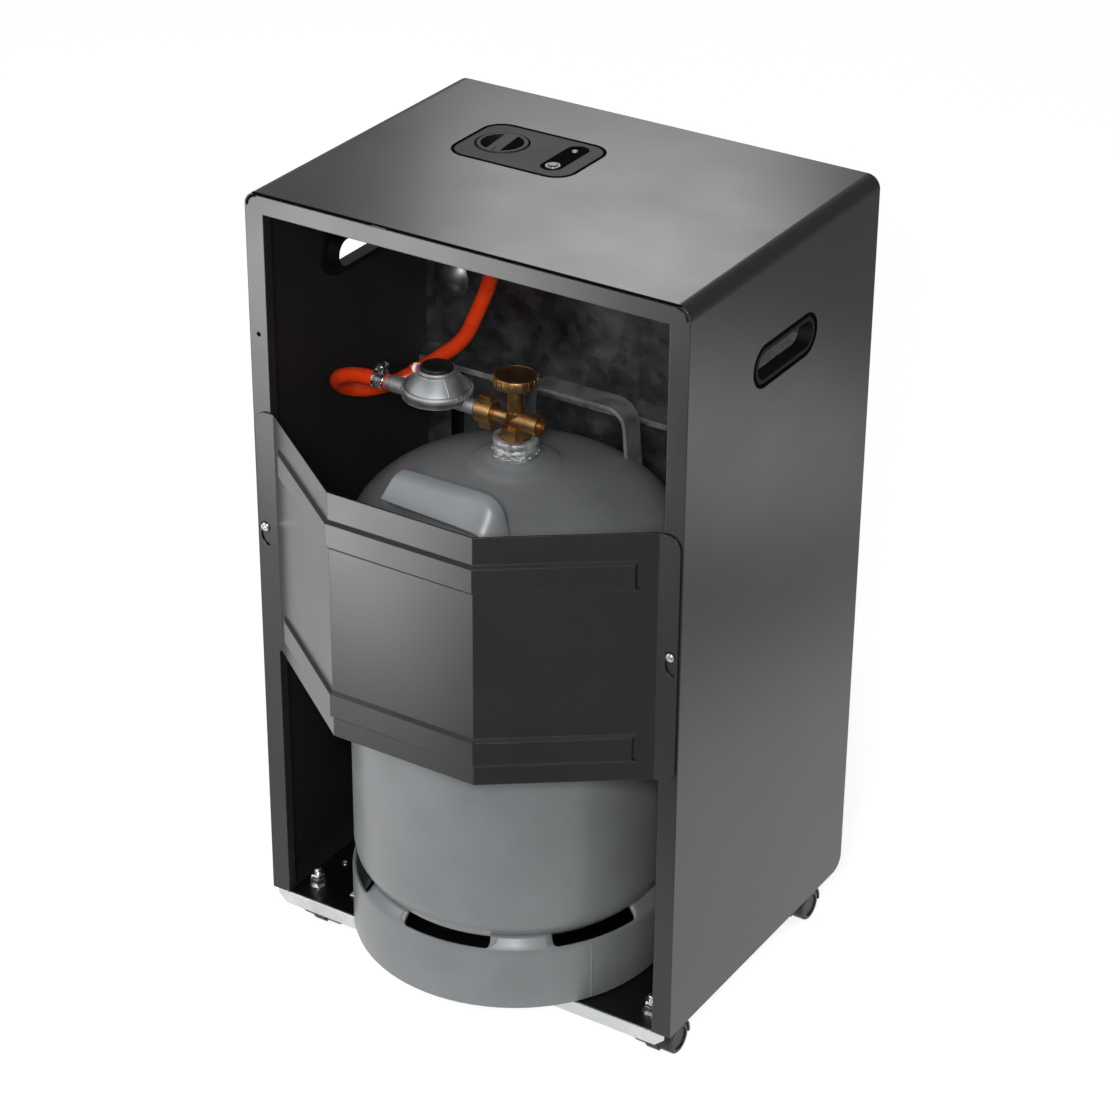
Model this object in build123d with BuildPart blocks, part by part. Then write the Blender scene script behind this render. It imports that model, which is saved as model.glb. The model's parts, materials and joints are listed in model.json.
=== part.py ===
from build123d import *
from math import atan2, pi, radians, sin, tan
import os

# Portable gas cabinet heater on casters, with its gas bottle standing in the open rear.
# Millimetres, +Z up.  The origin is on the floor, at the centre of the whole object's box.
# The burner front faces -Y, the open rear with its bent guard faces +Y.

# ------------------------------------------------------------------ cabinet
cabinet_width = 420
cabinet_depth = 310
cabinet_height = 685        # sheet-metal cabinet, without the casters
floor_gap = 45              # floor to the cabinet's bottom edge
sheet = 1.2                 # painted sheet of the cabinet
top_bend = 12               # outside radius of the bend from the top into each side
toe_radius = 14             # rounded front bottom corner of the sides
rear_flange = 18            # stiles and header round the open rear
rear_return = 10            # how far their inner edges fold back into the cabinet
front_flange = 12
bottom_flange = 16
flange_start_gap = 2        # front panel's bottom edge to the sides' bottom flanges
panel_side_gap = 0.3        # front panel to the inside of each side
seam_gap = 1.0              # slit between the top sheet and the rear header
corner_relief = 2.2         # the slit opens to this round each rear corner

# ------------------------------------------------------------------ clearances
gap = 0.3                   # between bodies that move past each other
running = 0.05              # radial clearance of a shaft in its bore

# ------------------------------------------------------------------ what stands from front to rear
bottle_radius = 143.5
foot_ring_proud = 2         # the foot ring is wider than the vessel by this, all round
burner_bay = 53             # front of the cabinet to the heat shield
bottle_clearance = 26.5     # heat shield to the foot ring
guard_clearance = 31.5      # foot ring to the crest of the guard's ribs
foot_ring_radius = bottle_radius + foot_ring_proud
whole_depth = burner_bay + bottle_clearance + 2 * foot_ring_radius + guard_clearance
guard_reach = whole_depth - cabinet_depth

front_y = -whole_depth / 2
rear_y = front_y + cabinet_depth
shield_y = front_y + burner_bay
bottle_x = 2
bottle_y = shield_y + bottle_clearance + foot_ring_radius
top_z = floor_gap + cabinet_height
side_x = cabinet_width / 2
inside_x = side_x - sheet
inside_top = top_z - sheet
opening_x = side_x - rear_flange
opening_top = top_z - rear_flange

# ------------------------------------------------------------------ rear guard
guard_bottom = 302
guard_height = 230
guard_facet = 140           # width of the guard's middle panel
guard_fold_inset = 20       # side of the cabinet to where the side panels leave the flanges
guard_edge_inset = 2
guard_corner = 12
guard_rib_rise = 3
guard_rib_height = 27
guard_rib_inset = 32        # side of the cabinet to the ends of the pressed ribs
guard_rib_low = 31          # guard's lower edge to the middle of the lower rib
guard_rib_high = 38         # guard's upper edge to the middle of the upper rib
guard_screw_inset = 9
guard_screw_rise = 120      # guard's lower edge to its screws
guard_screw_head = 7.5
guard_screw_head_height = 2.8
guard_screw_shank = 4
guard_screw_length = 8      # what stands inside the cabinet
guard_screw_play = 0.6      # under the screw's head, so that the guard lifts off
keyhole_diameter = 10
keyhole_slack = 0.4
spare_hole_rise = 181       # guard's screws to the spare hole higher on one stile
guard_fold = side_x - guard_fold_inset
guard_flange_edge = side_x - guard_edge_inset
guard_rib_end = side_x - guard_rib_inset
guard_rib_heights = (guard_bottom + guard_rib_low, guard_bottom + guard_height - guard_rib_high)
guard_screw_x = side_x - guard_screw_inset
guard_screw_z = guard_bottom + guard_screw_rise
spare_hole_z = guard_screw_z + spare_hole_rise
screw_shank_radius = guard_screw_shank / 2

# ------------------------------------------------------------------ hand-holds in the sides
hand_hold_length = 103
hand_hold_height = 36
hand_hold_drop = 97         # top of the cabinet to the middle of the hand-holds
hand_hold_shift = -1        # middle of the cabinet's depth to the middle of the hand-holds
trim_groove = 2.5           # dark groove between the sheet and the trim
trim_wall = 3.5
trim_depth = 13
trim_flange = 5
trim_flange_thickness = 2
trim_rounding = 0.8
hand_hold_y = (front_y + rear_y) / 2 + hand_hold_shift
hand_hold_z = top_z - hand_hold_drop

# ------------------------------------------------------------------ base tray and casters
tray_inset = 6
tray_lip = 11.5
tray_lip_chamfer = 9
tray_lip_corner = 8
tray_front_setback = 20
front_return = 9            # how far the front panel's bottom edge lies on the tray
caster_inset = 32           # side of the cabinet to the stems
caster_rear_setback = 25    # rear of the cabinet to the rear stems
caster_front_setback = 47   # front of the cabinet to the front stems
wheel_width = 13
wheel_gap = 13              # between the twin wheels, round the hood's web
wheel_rounding = 1.8
wheel_dish_rim = 4
wheel_dish_depth = 1.2
web_play = 0.5              # hood's web to each wheel
caster_trail = 15
hood_clearance = 0.8
hood_wall = 2.2
hood_neck_radius = 9
hood_skirt = 2              # the hood's arch ends this far below the axle
axle_radius = 3
axle_inset = 3
stem_radius = 4
stem_depth = 16.5           # how far the stem goes down into its hood
stem_reach = 18             # how far the stem stands above the tray
stem_chamfer = 0.8
nut_across_flats = 13
nut_height = 6.5
washer_radius = 9
washer_height = 1.6
stem_clearance = 2          # round the washers, and 4 above the stems
caster_x = side_x - caster_inset
hood_top = floor_gap - sheet - gap
wheel_radius = (hood_top - tray_lip - hood_clearance - hood_wall) / 2
stem_foot = hood_top - stem_depth
stem_top = floor_gap + stem_reach

# ------------------------------------------------------------------ control panel in the top
control_standoff = 57       # heat shield to the middle of the knob
knob_x = 90
knob_y = shield_y + control_standoff
oblong_x = 28
panel_margin_knob = 30      # middle of the knob to the control plate's +X edge
panel_margin_oblong = 23    # middle of the oblong to its -X edge
panel_margin_front = 36
panel_margin_rear = 40
panel_corner = 17
panel_gap = 2.2             # dark gap between the control plate and the top
deck_margin = 9             # how far the deck reaches under the top sheet
deck_thickness = 4
knob_radius = 22.3
knob_gap = 1.4
knob_height = 16
knob_rounding = 1
knob_recess_radius = 18.6
knob_recess_depth = 9
knob_bar = 12.5             # finger bar left between the two half-moon recesses
knob_twist = 6              # the bar stands a little off square
knob_push = 4
knob_lift = 0.6             # the knob stands this far above the plate
knob_floor_gap = 2.6        # left under the knob when it is pushed
pointer_width = 1.2
pointer_length = 9
pointer_depth = 0.5
cup_wall = 2
spindle_radius = 3
spindle_socket = 5          # how far the spindle is pressed into the knob
spindle_depth = 18          # how far it stands in the tap
spindle_hole_play = 0.6
collar_radius = 7
collar_height = 3.4
oblong_length = 60
oblong_width = 20
oblong_recess = 0.4         # the oblong lies this far below the plate
igniter_shift = 0.5         # igniter and screw stand this far off the oblong's middle line
igniter_offset = 19.5       # middle of the oblong to the igniter
igniter_bezel_radius = 6.6
igniter_bezel_height = 1.2
igniter_bezel_rounding = 0.6
igniter_button_radius = 4.6
igniter_button_length = 24
igniter_button_rounding = 0.8
igniter_travel = 5
igniter_lift = 0.8
igniter_neck_radius = 5.6   # the barrel's neck through the deck and the oblong
igniter_barrel_radius = 8.4
igniter_barrel_length = 58
panel_screw_offset = 16.5
panel_screw_radius = 2.8
panel_screw_height = 1.4
panel_screw_rounding = 1
panel_x_low = oblong_x - panel_margin_oblong
panel_x_high = knob_x + panel_margin_knob
panel_y_front = knob_y - panel_margin_front
panel_y_rear = knob_y + panel_margin_rear
panel_middle = ((panel_x_low + panel_x_high) / 2, (panel_y_front + panel_y_rear) / 2)
panel_width = panel_x_high - panel_x_low
panel_length = panel_y_rear - panel_y_front
oblong_top = inside_top + sheet - oblong_recess
igniter_x = oblong_x - igniter_shift
igniter_y = knob_y + igniter_offset
panel_screw_x = oblong_x + igniter_shift
panel_screw_y = knob_y - panel_screw_offset
knob_top = top_z + knob_lift
cup_bottom = knob_top - knob_height - knob_push - knob_floor_gap - cup_wall

# ------------------------------------------------------------------ gas tap under the control panel
tap_radius = 17
tap_height = 30
tap_width = 44
tap_depth = 22
tap_rounding = 2
bonnet_radius = 8
bonnet_height = 4
tap_post_radius = 3.5
tap_post_gap = 2.5          # bonnet to the posts that carry the tap
tap_nozzle_shift = 6        # middle of the tap to its hose nozzle
tap_nozzle_radius = 5.5
tap_nozzle_length = 14
tap_nozzle_collar = 2
tap_nozzle_collar_height = 3
tap_outlet_radius = 6
tap_outlet_root = 3
tap_outlet_length = 11
tap_outlet_drop = 16        # top of the tap to the middle of its outlet
feed_radius = 4
feed_bend = 9
tap_top = cup_bottom - gap - collar_height - gap - knob_push - bonnet_height
tap_bottom = tap_top - tap_height
tap_post = bonnet_radius + tap_post_gap + tap_post_radius
tap_nozzle_x = knob_x + tap_nozzle_shift
hose_top = tap_bottom - tap_nozzle_length    # where the hose ends on the tap's nozzle
collar_bottom = tap_top + bonnet_height + knob_push + gap
spindle_bottom = tap_top - spindle_depth
feed_z = tap_top - tap_outlet_drop
feed_start_y = knob_y - tap_radius + tap_outlet_root - tap_outlet_length

# ------------------------------------------------------------------ gas bottle
bottle_wall = 2.8
bottle_shoulder_z = 432     # where the cylinder turns into the top dome
bottle_dome = 74
bottle_heel_z = 137         # where the cylinder turns into the bottom dome
bottle_heel = 62
neck_hole_radius = 13
neck_pad_radius = 39.5
neck_pad_height = 9.5
neck_pad_slope = 62
foot_ring_wall = 3
foot_ring_drop = 11         # bottom dome's edge to the foot ring's top
foot_ring_roll = 8          # width of the ring's inward foot
foot_ring_lap = 6           # how far the ring's top reaches in under the vessel
foot_ring_rounding = 2.5
foot_slots = 6
foot_slot_angle = 35
foot_slot_turn = 94         # direction of one slot's middle, from +X
foot_slot_height = 15.5
foot_slot_drop = 3
foot_slot_corner = 5
neck_ring_radius = 19.5
neck_ring_seat = 5.5        # top of the dome to the underside of the neck ring
neck_ring_height = 17
neck_ring_chamfer = 1.2
neck_groove_heights = (6, 11.5)
neck_groove_width = 1.6
neck_groove_depth = 1.2
carry_radius = 100          # bottle axis to the carry handles
carry_width = 104
carry_splay = 8
carry_rise = 95             # dome's edge to the top of the handles
carry_strap = 3
carry_depth = 23
carry_corner = 20
carry_roll = 16             # radius of the near handle's rolled upper edge
hood_drop = 24              # how far the near handle's rounded face comes down
hood_leg = 7                # near handle's outline to the hand gap under its face
foot_ring_top = bottle_heel_z - foot_ring_drop
neck_ring_bottom = bottle_shoulder_z + bottle_dome + neck_ring_seat
neck_ring_top = neck_ring_bottom + neck_ring_height
neck_pad_bottom = neck_ring_bottom - neck_pad_height
carry_top = bottle_shoulder_z + carry_rise

# ------------------------------------------------------------------ bottle valve and handwheel
gas_axis_rise = 14.5        # neck ring to the gas line's axis
valve_hex = 24
valve_hex_height = 9
valve_shank = 12            # how far the valve's thread stands in the bottle
valve_body_radius = 8.5
valve_body_rise = 8         # gas line's axis to the top of the body
valve_bonnet_radius = 7
valve_bonnet_rise = 30.5
valve_outlet_radius = 6.5
valve_outlet_length = 31
relief_radius = 9
relief_length = 24
relief_wall = 2
relief_depth = 5
handwheel_gap = 2.5         # valve to the handwheel
handwheel_radius = 19.5
handwheel_height = 8.5
handwheel_rim = 2.5         # plain rim above the flutes, and its width
handwheel_rounding = 1.6
handwheel_dish = 1.2
handwheel_flutes = 12
handwheel_flute_radius = 1.9
handwheel_cap_height = 1.6
handwheel_cap_rounding = 0.6
valve_spindle_radius = 4
gas_axis_z = neck_ring_top + gas_axis_rise
valve_hex_top = neck_ring_top + valve_hex_height
valve_body_top = gas_axis_z + valve_body_rise
valve_top = gas_axis_z + valve_bonnet_rise
handwheel_bottom = valve_top + handwheel_gap
handwheel_top = handwheel_bottom + handwheel_height

# ------------------------------------------------------------------ union nut and regulator
nut_start = 21              # from the bottle axis
nut_length = 15.5
nut_radius = 11
nut_rounding = 1.2
nut_wing = 4
nut_wing_width = 8
nut_wing_setback = 2        # nut's near end to its wings
nut_wing_length = 11
stub_radius = 5
regulator_reach = 78.5      # bottle axis to the regulator's axis
bowl_radius = 24
bowl_drop = 7               # gas line's axis to the underside of the bowl
bowl_foot_radius = 13
rim_radius = 30
rim_rise = 1.5              # gas line's axis to the underside of the rim
rim_height = 6
rim_flare = 2.5
rim_groove_height = 2.4
rim_groove = 0.6
rim_groove_depth = 1.4
rim_lip = 0.6
dome_base_radius = 26.5
dome_middle_radius = 21.5
dome_middle_rise = 10
dome_top_radius = 15
dome_height = 27            # underside of the rim to the top of the cover
dome_edge = 2
cap_radius = 13
cap_height = 3.2
cap_rounding = 0.8
boss_radius = 6.5
boss_gap = 3                # union nut to the regulator's inlet boss
boss_reach = 32             # from the regulator's axis to the end of its outlet boss
coupling_length = 18.5
coupling_radius = 6.2
coupling_ring_radius = 7.4
coupling_ring_width = 5
coupling_ring_starts = (1, 8)
vent_rise = 19.5            # underside of the rim to the side button's axis
vent_boss_reach = 19.5
vent_boss_root = 8
vent_boss_margin = 1
vent_collar_radius = 4.6
vent_collar_length = 3
vent_button_radius = 3
vent_button_length = 4      # how far the button stands out of its collar
vent_button_root = 3
vent_button_rounding = 1.4
vent_travel = 2
regulator_x = bottle_x + regulator_reach
bowl_bottom = gas_axis_z - bowl_drop
rim_bottom = gas_axis_z + rim_rise
dome_top = rim_bottom + dome_height
vent_z = rim_bottom + vent_rise
vent_boss_end = regulator_x + vent_boss_reach
coupling_start = regulator_x + boss_reach
hose_end_x = coupling_start + coupling_length

# ------------------------------------------------------------------ gas hose, 13.5 mm outside
hose_radius = 6.75
clamp_wall = 1.2
clamp_width = 13
clamp_setback = 0.5         # hose end to the clamp
clamp_housing_width = 10
clamp_housing_height = 4.4
clamp_housing_inset = 1.5
clamp_screw_radius = 3.4
clamp_screw_length = 16
clamp_screw_rise = 4.5      # band to the axis of the screw
hose_run = 25               # straight at each end of the hose
hose_route = [
    (hose_end_x, bottle_y, gas_axis_z), (hose_end_x + hose_run, bottle_y, gas_axis_z),
    (180, 22, 536), (196, 11, 521.5), (201, -10, 504), (191, -38, 494), (174, -64, 500),
    (150, -77, 519), (126, -85, 540), (115, -90, 569), (104, -91, 596),
    (tap_nozzle_x, knob_y, hose_top - hose_run), (tap_nozzle_x, knob_y, hose_top),
]

# ------------------------------------------------------------------ heat shield and burner
burner_opening_inset = 40   # side of the cabinet to the burner opening
burner_opening_drop = 232   # top of the cabinet to the opening's lower edge
burner_opening_height = 184
burner_corner = 14
burner_opening_width = cabinet_width - 2 * burner_opening_inset
burner_opening_bottom = top_z - burner_opening_drop
burner_middle_z = burner_opening_bottom + burner_opening_height / 2
shield_sheet = 1.0
shield_drop = 14            # burner opening to the lower edge of the shield
shield_top_gap = 6.8
shield_bottom = burner_opening_bottom - shield_drop
shield_top = inside_top - shield_top_gap
ledge_reach = 14
ledge_drop = 9
ledge_lip = 4
feed_hole_play = 1
post_width = 25
partition_gap = 7           # dark slit between each post and the lower partition
partition_setback = 12
shield_dome_inset = 28      # side of the cabinet to the round cover
shield_dome_drop = 167
shield_dome_radius = 18.5
shield_dome_rise = 8
tile_gap = 8
tile_side_margin = 20       # burner opening to the outer tiles' share of its width
tile_margin = 26            # burner opening to the tiles, above and below
tile_thickness = 13
tile_setback = 15           # front of the cabinet to the face of the tiles
tile_pits_across = 6
tile_pits_up = 9
tile_pit_radius = 5
tile_pit_depth = 1.5
reflector_sheet = 0.8
reflector_seat = 4          # how far the tiles' edges stand behind the reflector's back
reflector_margin = 9
reflector_flare = 12
reflector_corner = 8
reflector_flange_side = 12
reflector_flange_top = 9
plenum_depth = 15
plenum_corner = 6
throat_radius = 6
throat_rise = 6             # gas rail to the throats
injector_radius = 4
manifold_drop = 11          # burner opening to the gas rail
manifold_radius = 5
manifold_overhang = 32      # outer burners' middle to the ends of the rail
feed_overhang = 14          # tiles to the feed pipe's drop
pilot_standoff = 3.5        # tiles to the middle of the pilot, electrode and probe
pilot_sheet = 1.5
pilot_bracket_width = 44
pilot_bracket_height = 7
pilot_bracket_rise = 1      # reflector's lower wall to the bracket
pilot_shelf_lap = 3
pilot_x = -12
pilot_radius = 2.9
pilot_height = 12
electrode_x = 2
electrode_radius = 2.4
electrode_height = 10
electrode_wire = 0.9
electrode_tip = 8
probe_x = 16
probe_radius = 2.2
probe_height = 18
probe_rounding = 1.6
grille_wire = 1.4
grille_rail_wire = 1.7
grille_frame_wire = 2
grille_corner = 12
grille_lap_side = 5
grille_lap_top = 3
grille_wires = 23
louvre_count = 6
louvre_length = 92
louvre_height = 5
louvre_pitch = 14
louvre_rise = 60            # cabinet's bottom edge to the lowest louvres
louvre_x = 90
tile_pitch = (burner_opening_width - 2 * tile_side_margin) / 3
tile_width = tile_pitch - tile_gap
tile_height = burner_opening_height - 2 * tile_margin
tile_y = front_y + tile_setback
plenum_front_y = tile_y + tile_thickness
plenum_rear_y = plenum_front_y + plenum_depth
rail_y = plenum_front_y + plenum_depth / 2
manifold_z = burner_opening_bottom - manifold_drop
manifold_reach = tile_pitch + manifold_overhang
throat_bottom = manifold_z + manifold_radius + throat_rise
pilot_bracket_low = burner_middle_z - tile_height / 2 - reflector_margin + pilot_bracket_rise
burner_places = [(x, burner_middle_z) for x in (-tile_pitch, 0, tile_pitch)]
dome_x = side_x - shield_dome_inset
dome_z = top_z - shield_dome_drop
grille_y = front_y + 2 * sheet + grille_frame_wire
mouth_y = grille_y + grille_frame_wire


def save(builder, name):
    """Label a finished sub-part and write it as its own STEP file."""
    builder.part.label = name
    export_step(builder.part, f"parts/{name}.step")


def axis_plane(x, y):
    """Upright plane through a vertical axis at (x, y): its X is the radius, its Y the height."""
    return Plane(origin=(x, y, 0), x_dir=(1, 0, 0), z_dir=(0, -1, 0))


def upright(x, y):
    """Vertical axis through (x, y)."""
    return Axis((x, y, 0), (0, 0, 1))


def wall_plane(y):
    """Upright plane across the cabinet: X and Z, extruding towards the front."""
    return Plane.XZ.offset(-y)


def side_plane(x):
    """Upright plane along the cabinet: Y and Z, extruding towards +X."""
    return Plane.YZ.offset(x)


# ==================================================================== cabinet
def make_cabinet_shell():
    """Top and both sides wrapped from one sheet, with folded flanges front, rear and bottom."""
    with BuildPart() as shell:
        with BuildSketch(wall_plane(rear_y)) as outside:
            with Locations((0, floor_gap + cabinet_height / 2)):
                Rectangle(cabinet_width, cabinet_height)
            fillet(outside.vertices().group_by(Axis.Y)[-1], top_bend)
        extrude(amount=cabinet_depth)
        with BuildSketch(wall_plane(rear_y - sheet)) as inside:
            with Locations((0, floor_gap + (cabinet_height - sheet) / 2)):
                Rectangle(2 * inside_x, cabinet_height - sheet)
            fillet(inside.vertices().group_by(Axis.Y)[-1], top_bend - sheet)
        extrude(amount=cabinet_depth - 2 * sheet, mode=Mode.SUBTRACT)
        # the open rear between the stiles and under the header
        with BuildSketch(wall_plane(rear_y)):
            with Locations((0, (floor_gap + opening_top) / 2)):
                Rectangle(2 * opening_x, opening_top - floor_gap)
        extrude(amount=sheet, mode=Mode.SUBTRACT)
        # inner edges of the stiles and the header fold back into the cabinet
        with BuildSketch(wall_plane(rear_y)):
            with Locations((0, (floor_gap + opening_top + sheet) / 2)):
                Rectangle(2 * (opening_x + sheet), opening_top + sheet - floor_gap)
            with Locations((0, (floor_gap + opening_top) / 2)):
                Rectangle(2 * opening_x, opening_top - floor_gap, mode=Mode.SUBTRACT)
        extrude(amount=rear_return)
        # slit between the top sheet and the header
        with Locations((0, rear_y - sheet / 2, inside_top - seam_gap / 2)):
            Box(2 * (side_x - top_bend), 2 * sheet, seam_gap, mode=Mode.SUBTRACT)
        # the slit opens up where it follows the bend round each rear corner
        bend = top_bend - sheet
        with BuildSketch(wall_plane(rear_y)):
            for side in (-1, 1):
                with Locations((side * (side_x - top_bend), top_z - top_bend)):
                    Circle(bend)
                    Circle(bend - corner_relief, mode=Mode.SUBTRACT)
                with Locations((side * (side_x - top_bend - bend / 2), top_z - top_bend)):
                    Rectangle(bend, 2 * bend, mode=Mode.SUBTRACT)
                with Locations((side * (side_x - top_bend), top_z - top_bend - bend / 2)):
                    Rectangle(2 * bend, bend, mode=Mode.SUBTRACT)
        extrude(amount=sheet, mode=Mode.SUBTRACT)
        # the open front inside its narrow flange
        with BuildSketch(wall_plane(front_y + sheet)):
            with Locations((0, (floor_gap + top_z - front_flange) / 2)):
                Rectangle(2 * (side_x - front_flange), top_z - front_flange - floor_gap)
        extrude(amount=sheet, mode=Mode.SUBTRACT)
        # rounded toe of the sides
        with BuildSketch(side_plane(-side_x)) as toe:
            with Locations((front_y, floor_gap)):
                Rectangle(2 * toe_radius, 2 * toe_radius)
            with Locations((front_y + toe_radius, floor_gap + toe_radius)):
                Circle(toe_radius, mode=Mode.SUBTRACT)
        extrude(amount=cabinet_width, mode=Mode.SUBTRACT)
        # the sides' bottom edges fold inwards onto the tray, behind the front panel's edge
        flange_start = front_y + tray_front_setback + front_return + flange_start_gap
        flange_length = rear_y - sheet - flange_start
        flange_x = inside_x - bottom_flange / 2
        flange_y = flange_start + flange_length / 2
        with Locations((-flange_x, flange_y, floor_gap + sheet / 2),
                       (flange_x, flange_y, floor_gap + sheet / 2)):
            Box(bottom_flange, flange_length, sheet)
        # opening for the control panel
        with BuildSketch(Plane.XY.offset(inside_top)):
            with Locations(panel_middle):
                RectangleRounded(panel_width + 2 * panel_gap, panel_length + 2 * panel_gap,
                                 panel_corner + panel_gap)
        extrude(amount=sheet, mode=Mode.SUBTRACT)
        # hand-holds through both sides
        with BuildSketch(side_plane(-side_x)):
            with Locations((hand_hold_y, hand_hold_z)):
                SlotOverall(hand_hold_length, hand_hold_height)
        extrude(amount=cabinet_width, mode=Mode.SUBTRACT)
        # holes for the guard's screws, and one spare hole higher on one stile
        with BuildSketch(wall_plane(rear_y)):
            with Locations((-guard_screw_x, guard_screw_z), (guard_screw_x, guard_screw_z),
                           (guard_screw_x, spare_hole_z)):
                Circle(screw_shank_radius)
        extrude(amount=sheet, mode=Mode.SUBTRACT)
    save(shell, "cabinet_shell")


def make_front_panel():
    """Front sheet with the burner opening, air slots low down and a rounded toe."""
    face_y = front_y + sheet
    bend = toe_radius - sheet
    panel_half = inside_x - panel_side_gap
    return_y = front_y + tray_front_setback + front_return
    with BuildPart() as panel:
        with BuildSketch(side_plane(-panel_half)):
            with BuildLine():
                FilletPolyline((face_y, inside_top), (face_y, floor_gap), (return_y, floor_gap),
                               radius=bend)
                Line((return_y, floor_gap), (return_y, floor_gap + sheet))
                FilletPolyline((return_y, floor_gap + sheet), (face_y + sheet, floor_gap + sheet),
                               (face_y + sheet, inside_top), radius=bend - sheet)
                Line((face_y + sheet, inside_top), (face_y, inside_top))
            make_face()
        extrude(amount=2 * panel_half)
        with BuildSketch(wall_plane(face_y + sheet)):
            with Locations((0, burner_middle_z)):
                RectangleRounded(burner_opening_width, burner_opening_height, burner_corner)
            louvre_middle = floor_gap + louvre_rise + (louvre_count - 1) * louvre_pitch / 2
            with Locations((-louvre_x, louvre_middle), (louvre_x, louvre_middle)):
                with GridLocations(0, louvre_pitch, 1, louvre_count):
                    SlotOverall(louvre_length, louvre_height)
        extrude(amount=sheet, mode=Mode.SUBTRACT)
        # the upper corners clear the wrap's bends
        edges_to_round = panel.edges().filter_by(Axis.Y).group_by(Axis.Z)[-1]
        fillet(edges_to_round, top_bend - sheet)
    save(panel, "front_panel")


def caster_places():
    """Name and stem position of each caster."""
    rear = rear_y - caster_rear_setback
    front = front_y + caster_front_setback
    return {"rear_left": (caster_x, rear), "rear_right": (-caster_x, rear),
            "front_left": (caster_x, front), "front_right": (-caster_x, front)}


def make_base_tray():
    """Galvanised floor plate with a turned-down lip at the rear and holes for the stems."""
    width = cabinet_width - 2 * tray_inset
    tray_front_y = front_y + tray_front_setback
    with BuildPart() as tray:
        with BuildSketch(Plane.XY.offset(floor_gap - sheet)):
            with Locations((0, (tray_front_y + rear_y) / 2)):
                Rectangle(width, rear_y - tray_front_y)
            with Locations(*caster_places().values()):
                Circle(stem_radius + running, mode=Mode.SUBTRACT)
        extrude(amount=sheet)
        with BuildSketch(wall_plane(rear_y)):
            with Locations((0, floor_gap - (tray_lip + sheet) / 2)):
                Rectangle(width, tray_lip + sheet)
            half = width / 2
            low = floor_gap - tray_lip - sheet
            for side in (-1, 1):
                with BuildLine():
                    Polyline((side * half, low), (side * (half - tray_lip_chamfer), low),
                             (side * half, low + tray_lip_corner), close=True)
                make_face(mode=Mode.SUBTRACT)
        extrude(amount=sheet)
        rear_edge = tray.edges().filter_by(Axis.X).group_by(Axis.Y)[-1].sort_by(Axis.Z)[-1]
        fillet(rear_edge, sheet * 0.9)
    save(tray, "base_tray")


def make_hand_hold_trim(name, side):
    """Trim set into a side's cut-out, with a flange behind the sheet."""
    outer_length = hand_hold_length - 2 * trim_groove
    outer_height = hand_hold_height - 2 * trim_groove
    with BuildPart() as trim:
        with BuildSketch(side_plane(side * inside_x)):
            with Locations((hand_hold_y, hand_hold_z)):
                SlotOverall(hand_hold_length + 2 * trim_flange, hand_hold_height + 2 * trim_flange)
        extrude(amount=-side * trim_flange_thickness)
        with BuildSketch(side_plane(side * side_x)):
            with Locations((hand_hold_y, hand_hold_z)):
                SlotOverall(outer_length, outer_height)
        extrude(amount=-side * trim_depth)
        rim = trim.faces().filter_by(Plane.YZ).sort_by(Axis.X)[-1 if side > 0 else 0]
        fillet(rim.edges(), trim_rounding)
        with BuildSketch(side_plane(side * (side_x + sheet))):
            with Locations((hand_hold_y, hand_hold_z)):
                SlotOverall(outer_length - 2 * trim_wall, outer_height - 2 * trim_wall)
        extrude(amount=-side * (trim_depth + 2 * sheet), mode=Mode.SUBTRACT)
    save(trim, name)


# ==================================================================== rear guard
def guard_outline(rise, end, base_y):
    """Plan of the guard from base_y out to its face, moved out by rise and cut off at x = end."""
    depth = guard_reach - guard_rib_rise
    slope = atan2(depth - gap, guard_fold - guard_facet / 2)
    half_facet = guard_facet / 2 + rise * tan(slope / 2)
    face_y = rear_y + depth + rise
    end_y = face_y - (end - half_facet) * tan(slope)
    points = [(-end, end_y), (-half_facet, face_y), (half_facet, face_y), (end, end_y)]
    if end_y > base_y + 0.01:
        points += [(end, base_y), (-end, base_y)]
    return points


def guard_rib(middle, rise, end, base_y, extra):
    """Ruled solid of one pressed rib: four outlines that rise to the crest and fall again."""
    half = guard_rib_height / 2 + extra
    heights = (middle - half, middle - half + guard_rib_rise,
               middle + half - guard_rib_rise, middle + half)
    sections = []
    for height, step in zip(heights, (0, 1, 1, 0)):
        with BuildSketch(Plane.XY.offset(height)) as section:
            with BuildLine():
                Polyline(*guard_outline(rise + step * guard_rib_rise,
                                        end - step * guard_rib_rise, base_y), close=True)
            make_face()
        sections.append(section.sketch.face())
    loft(sections, ruled=True)


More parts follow.
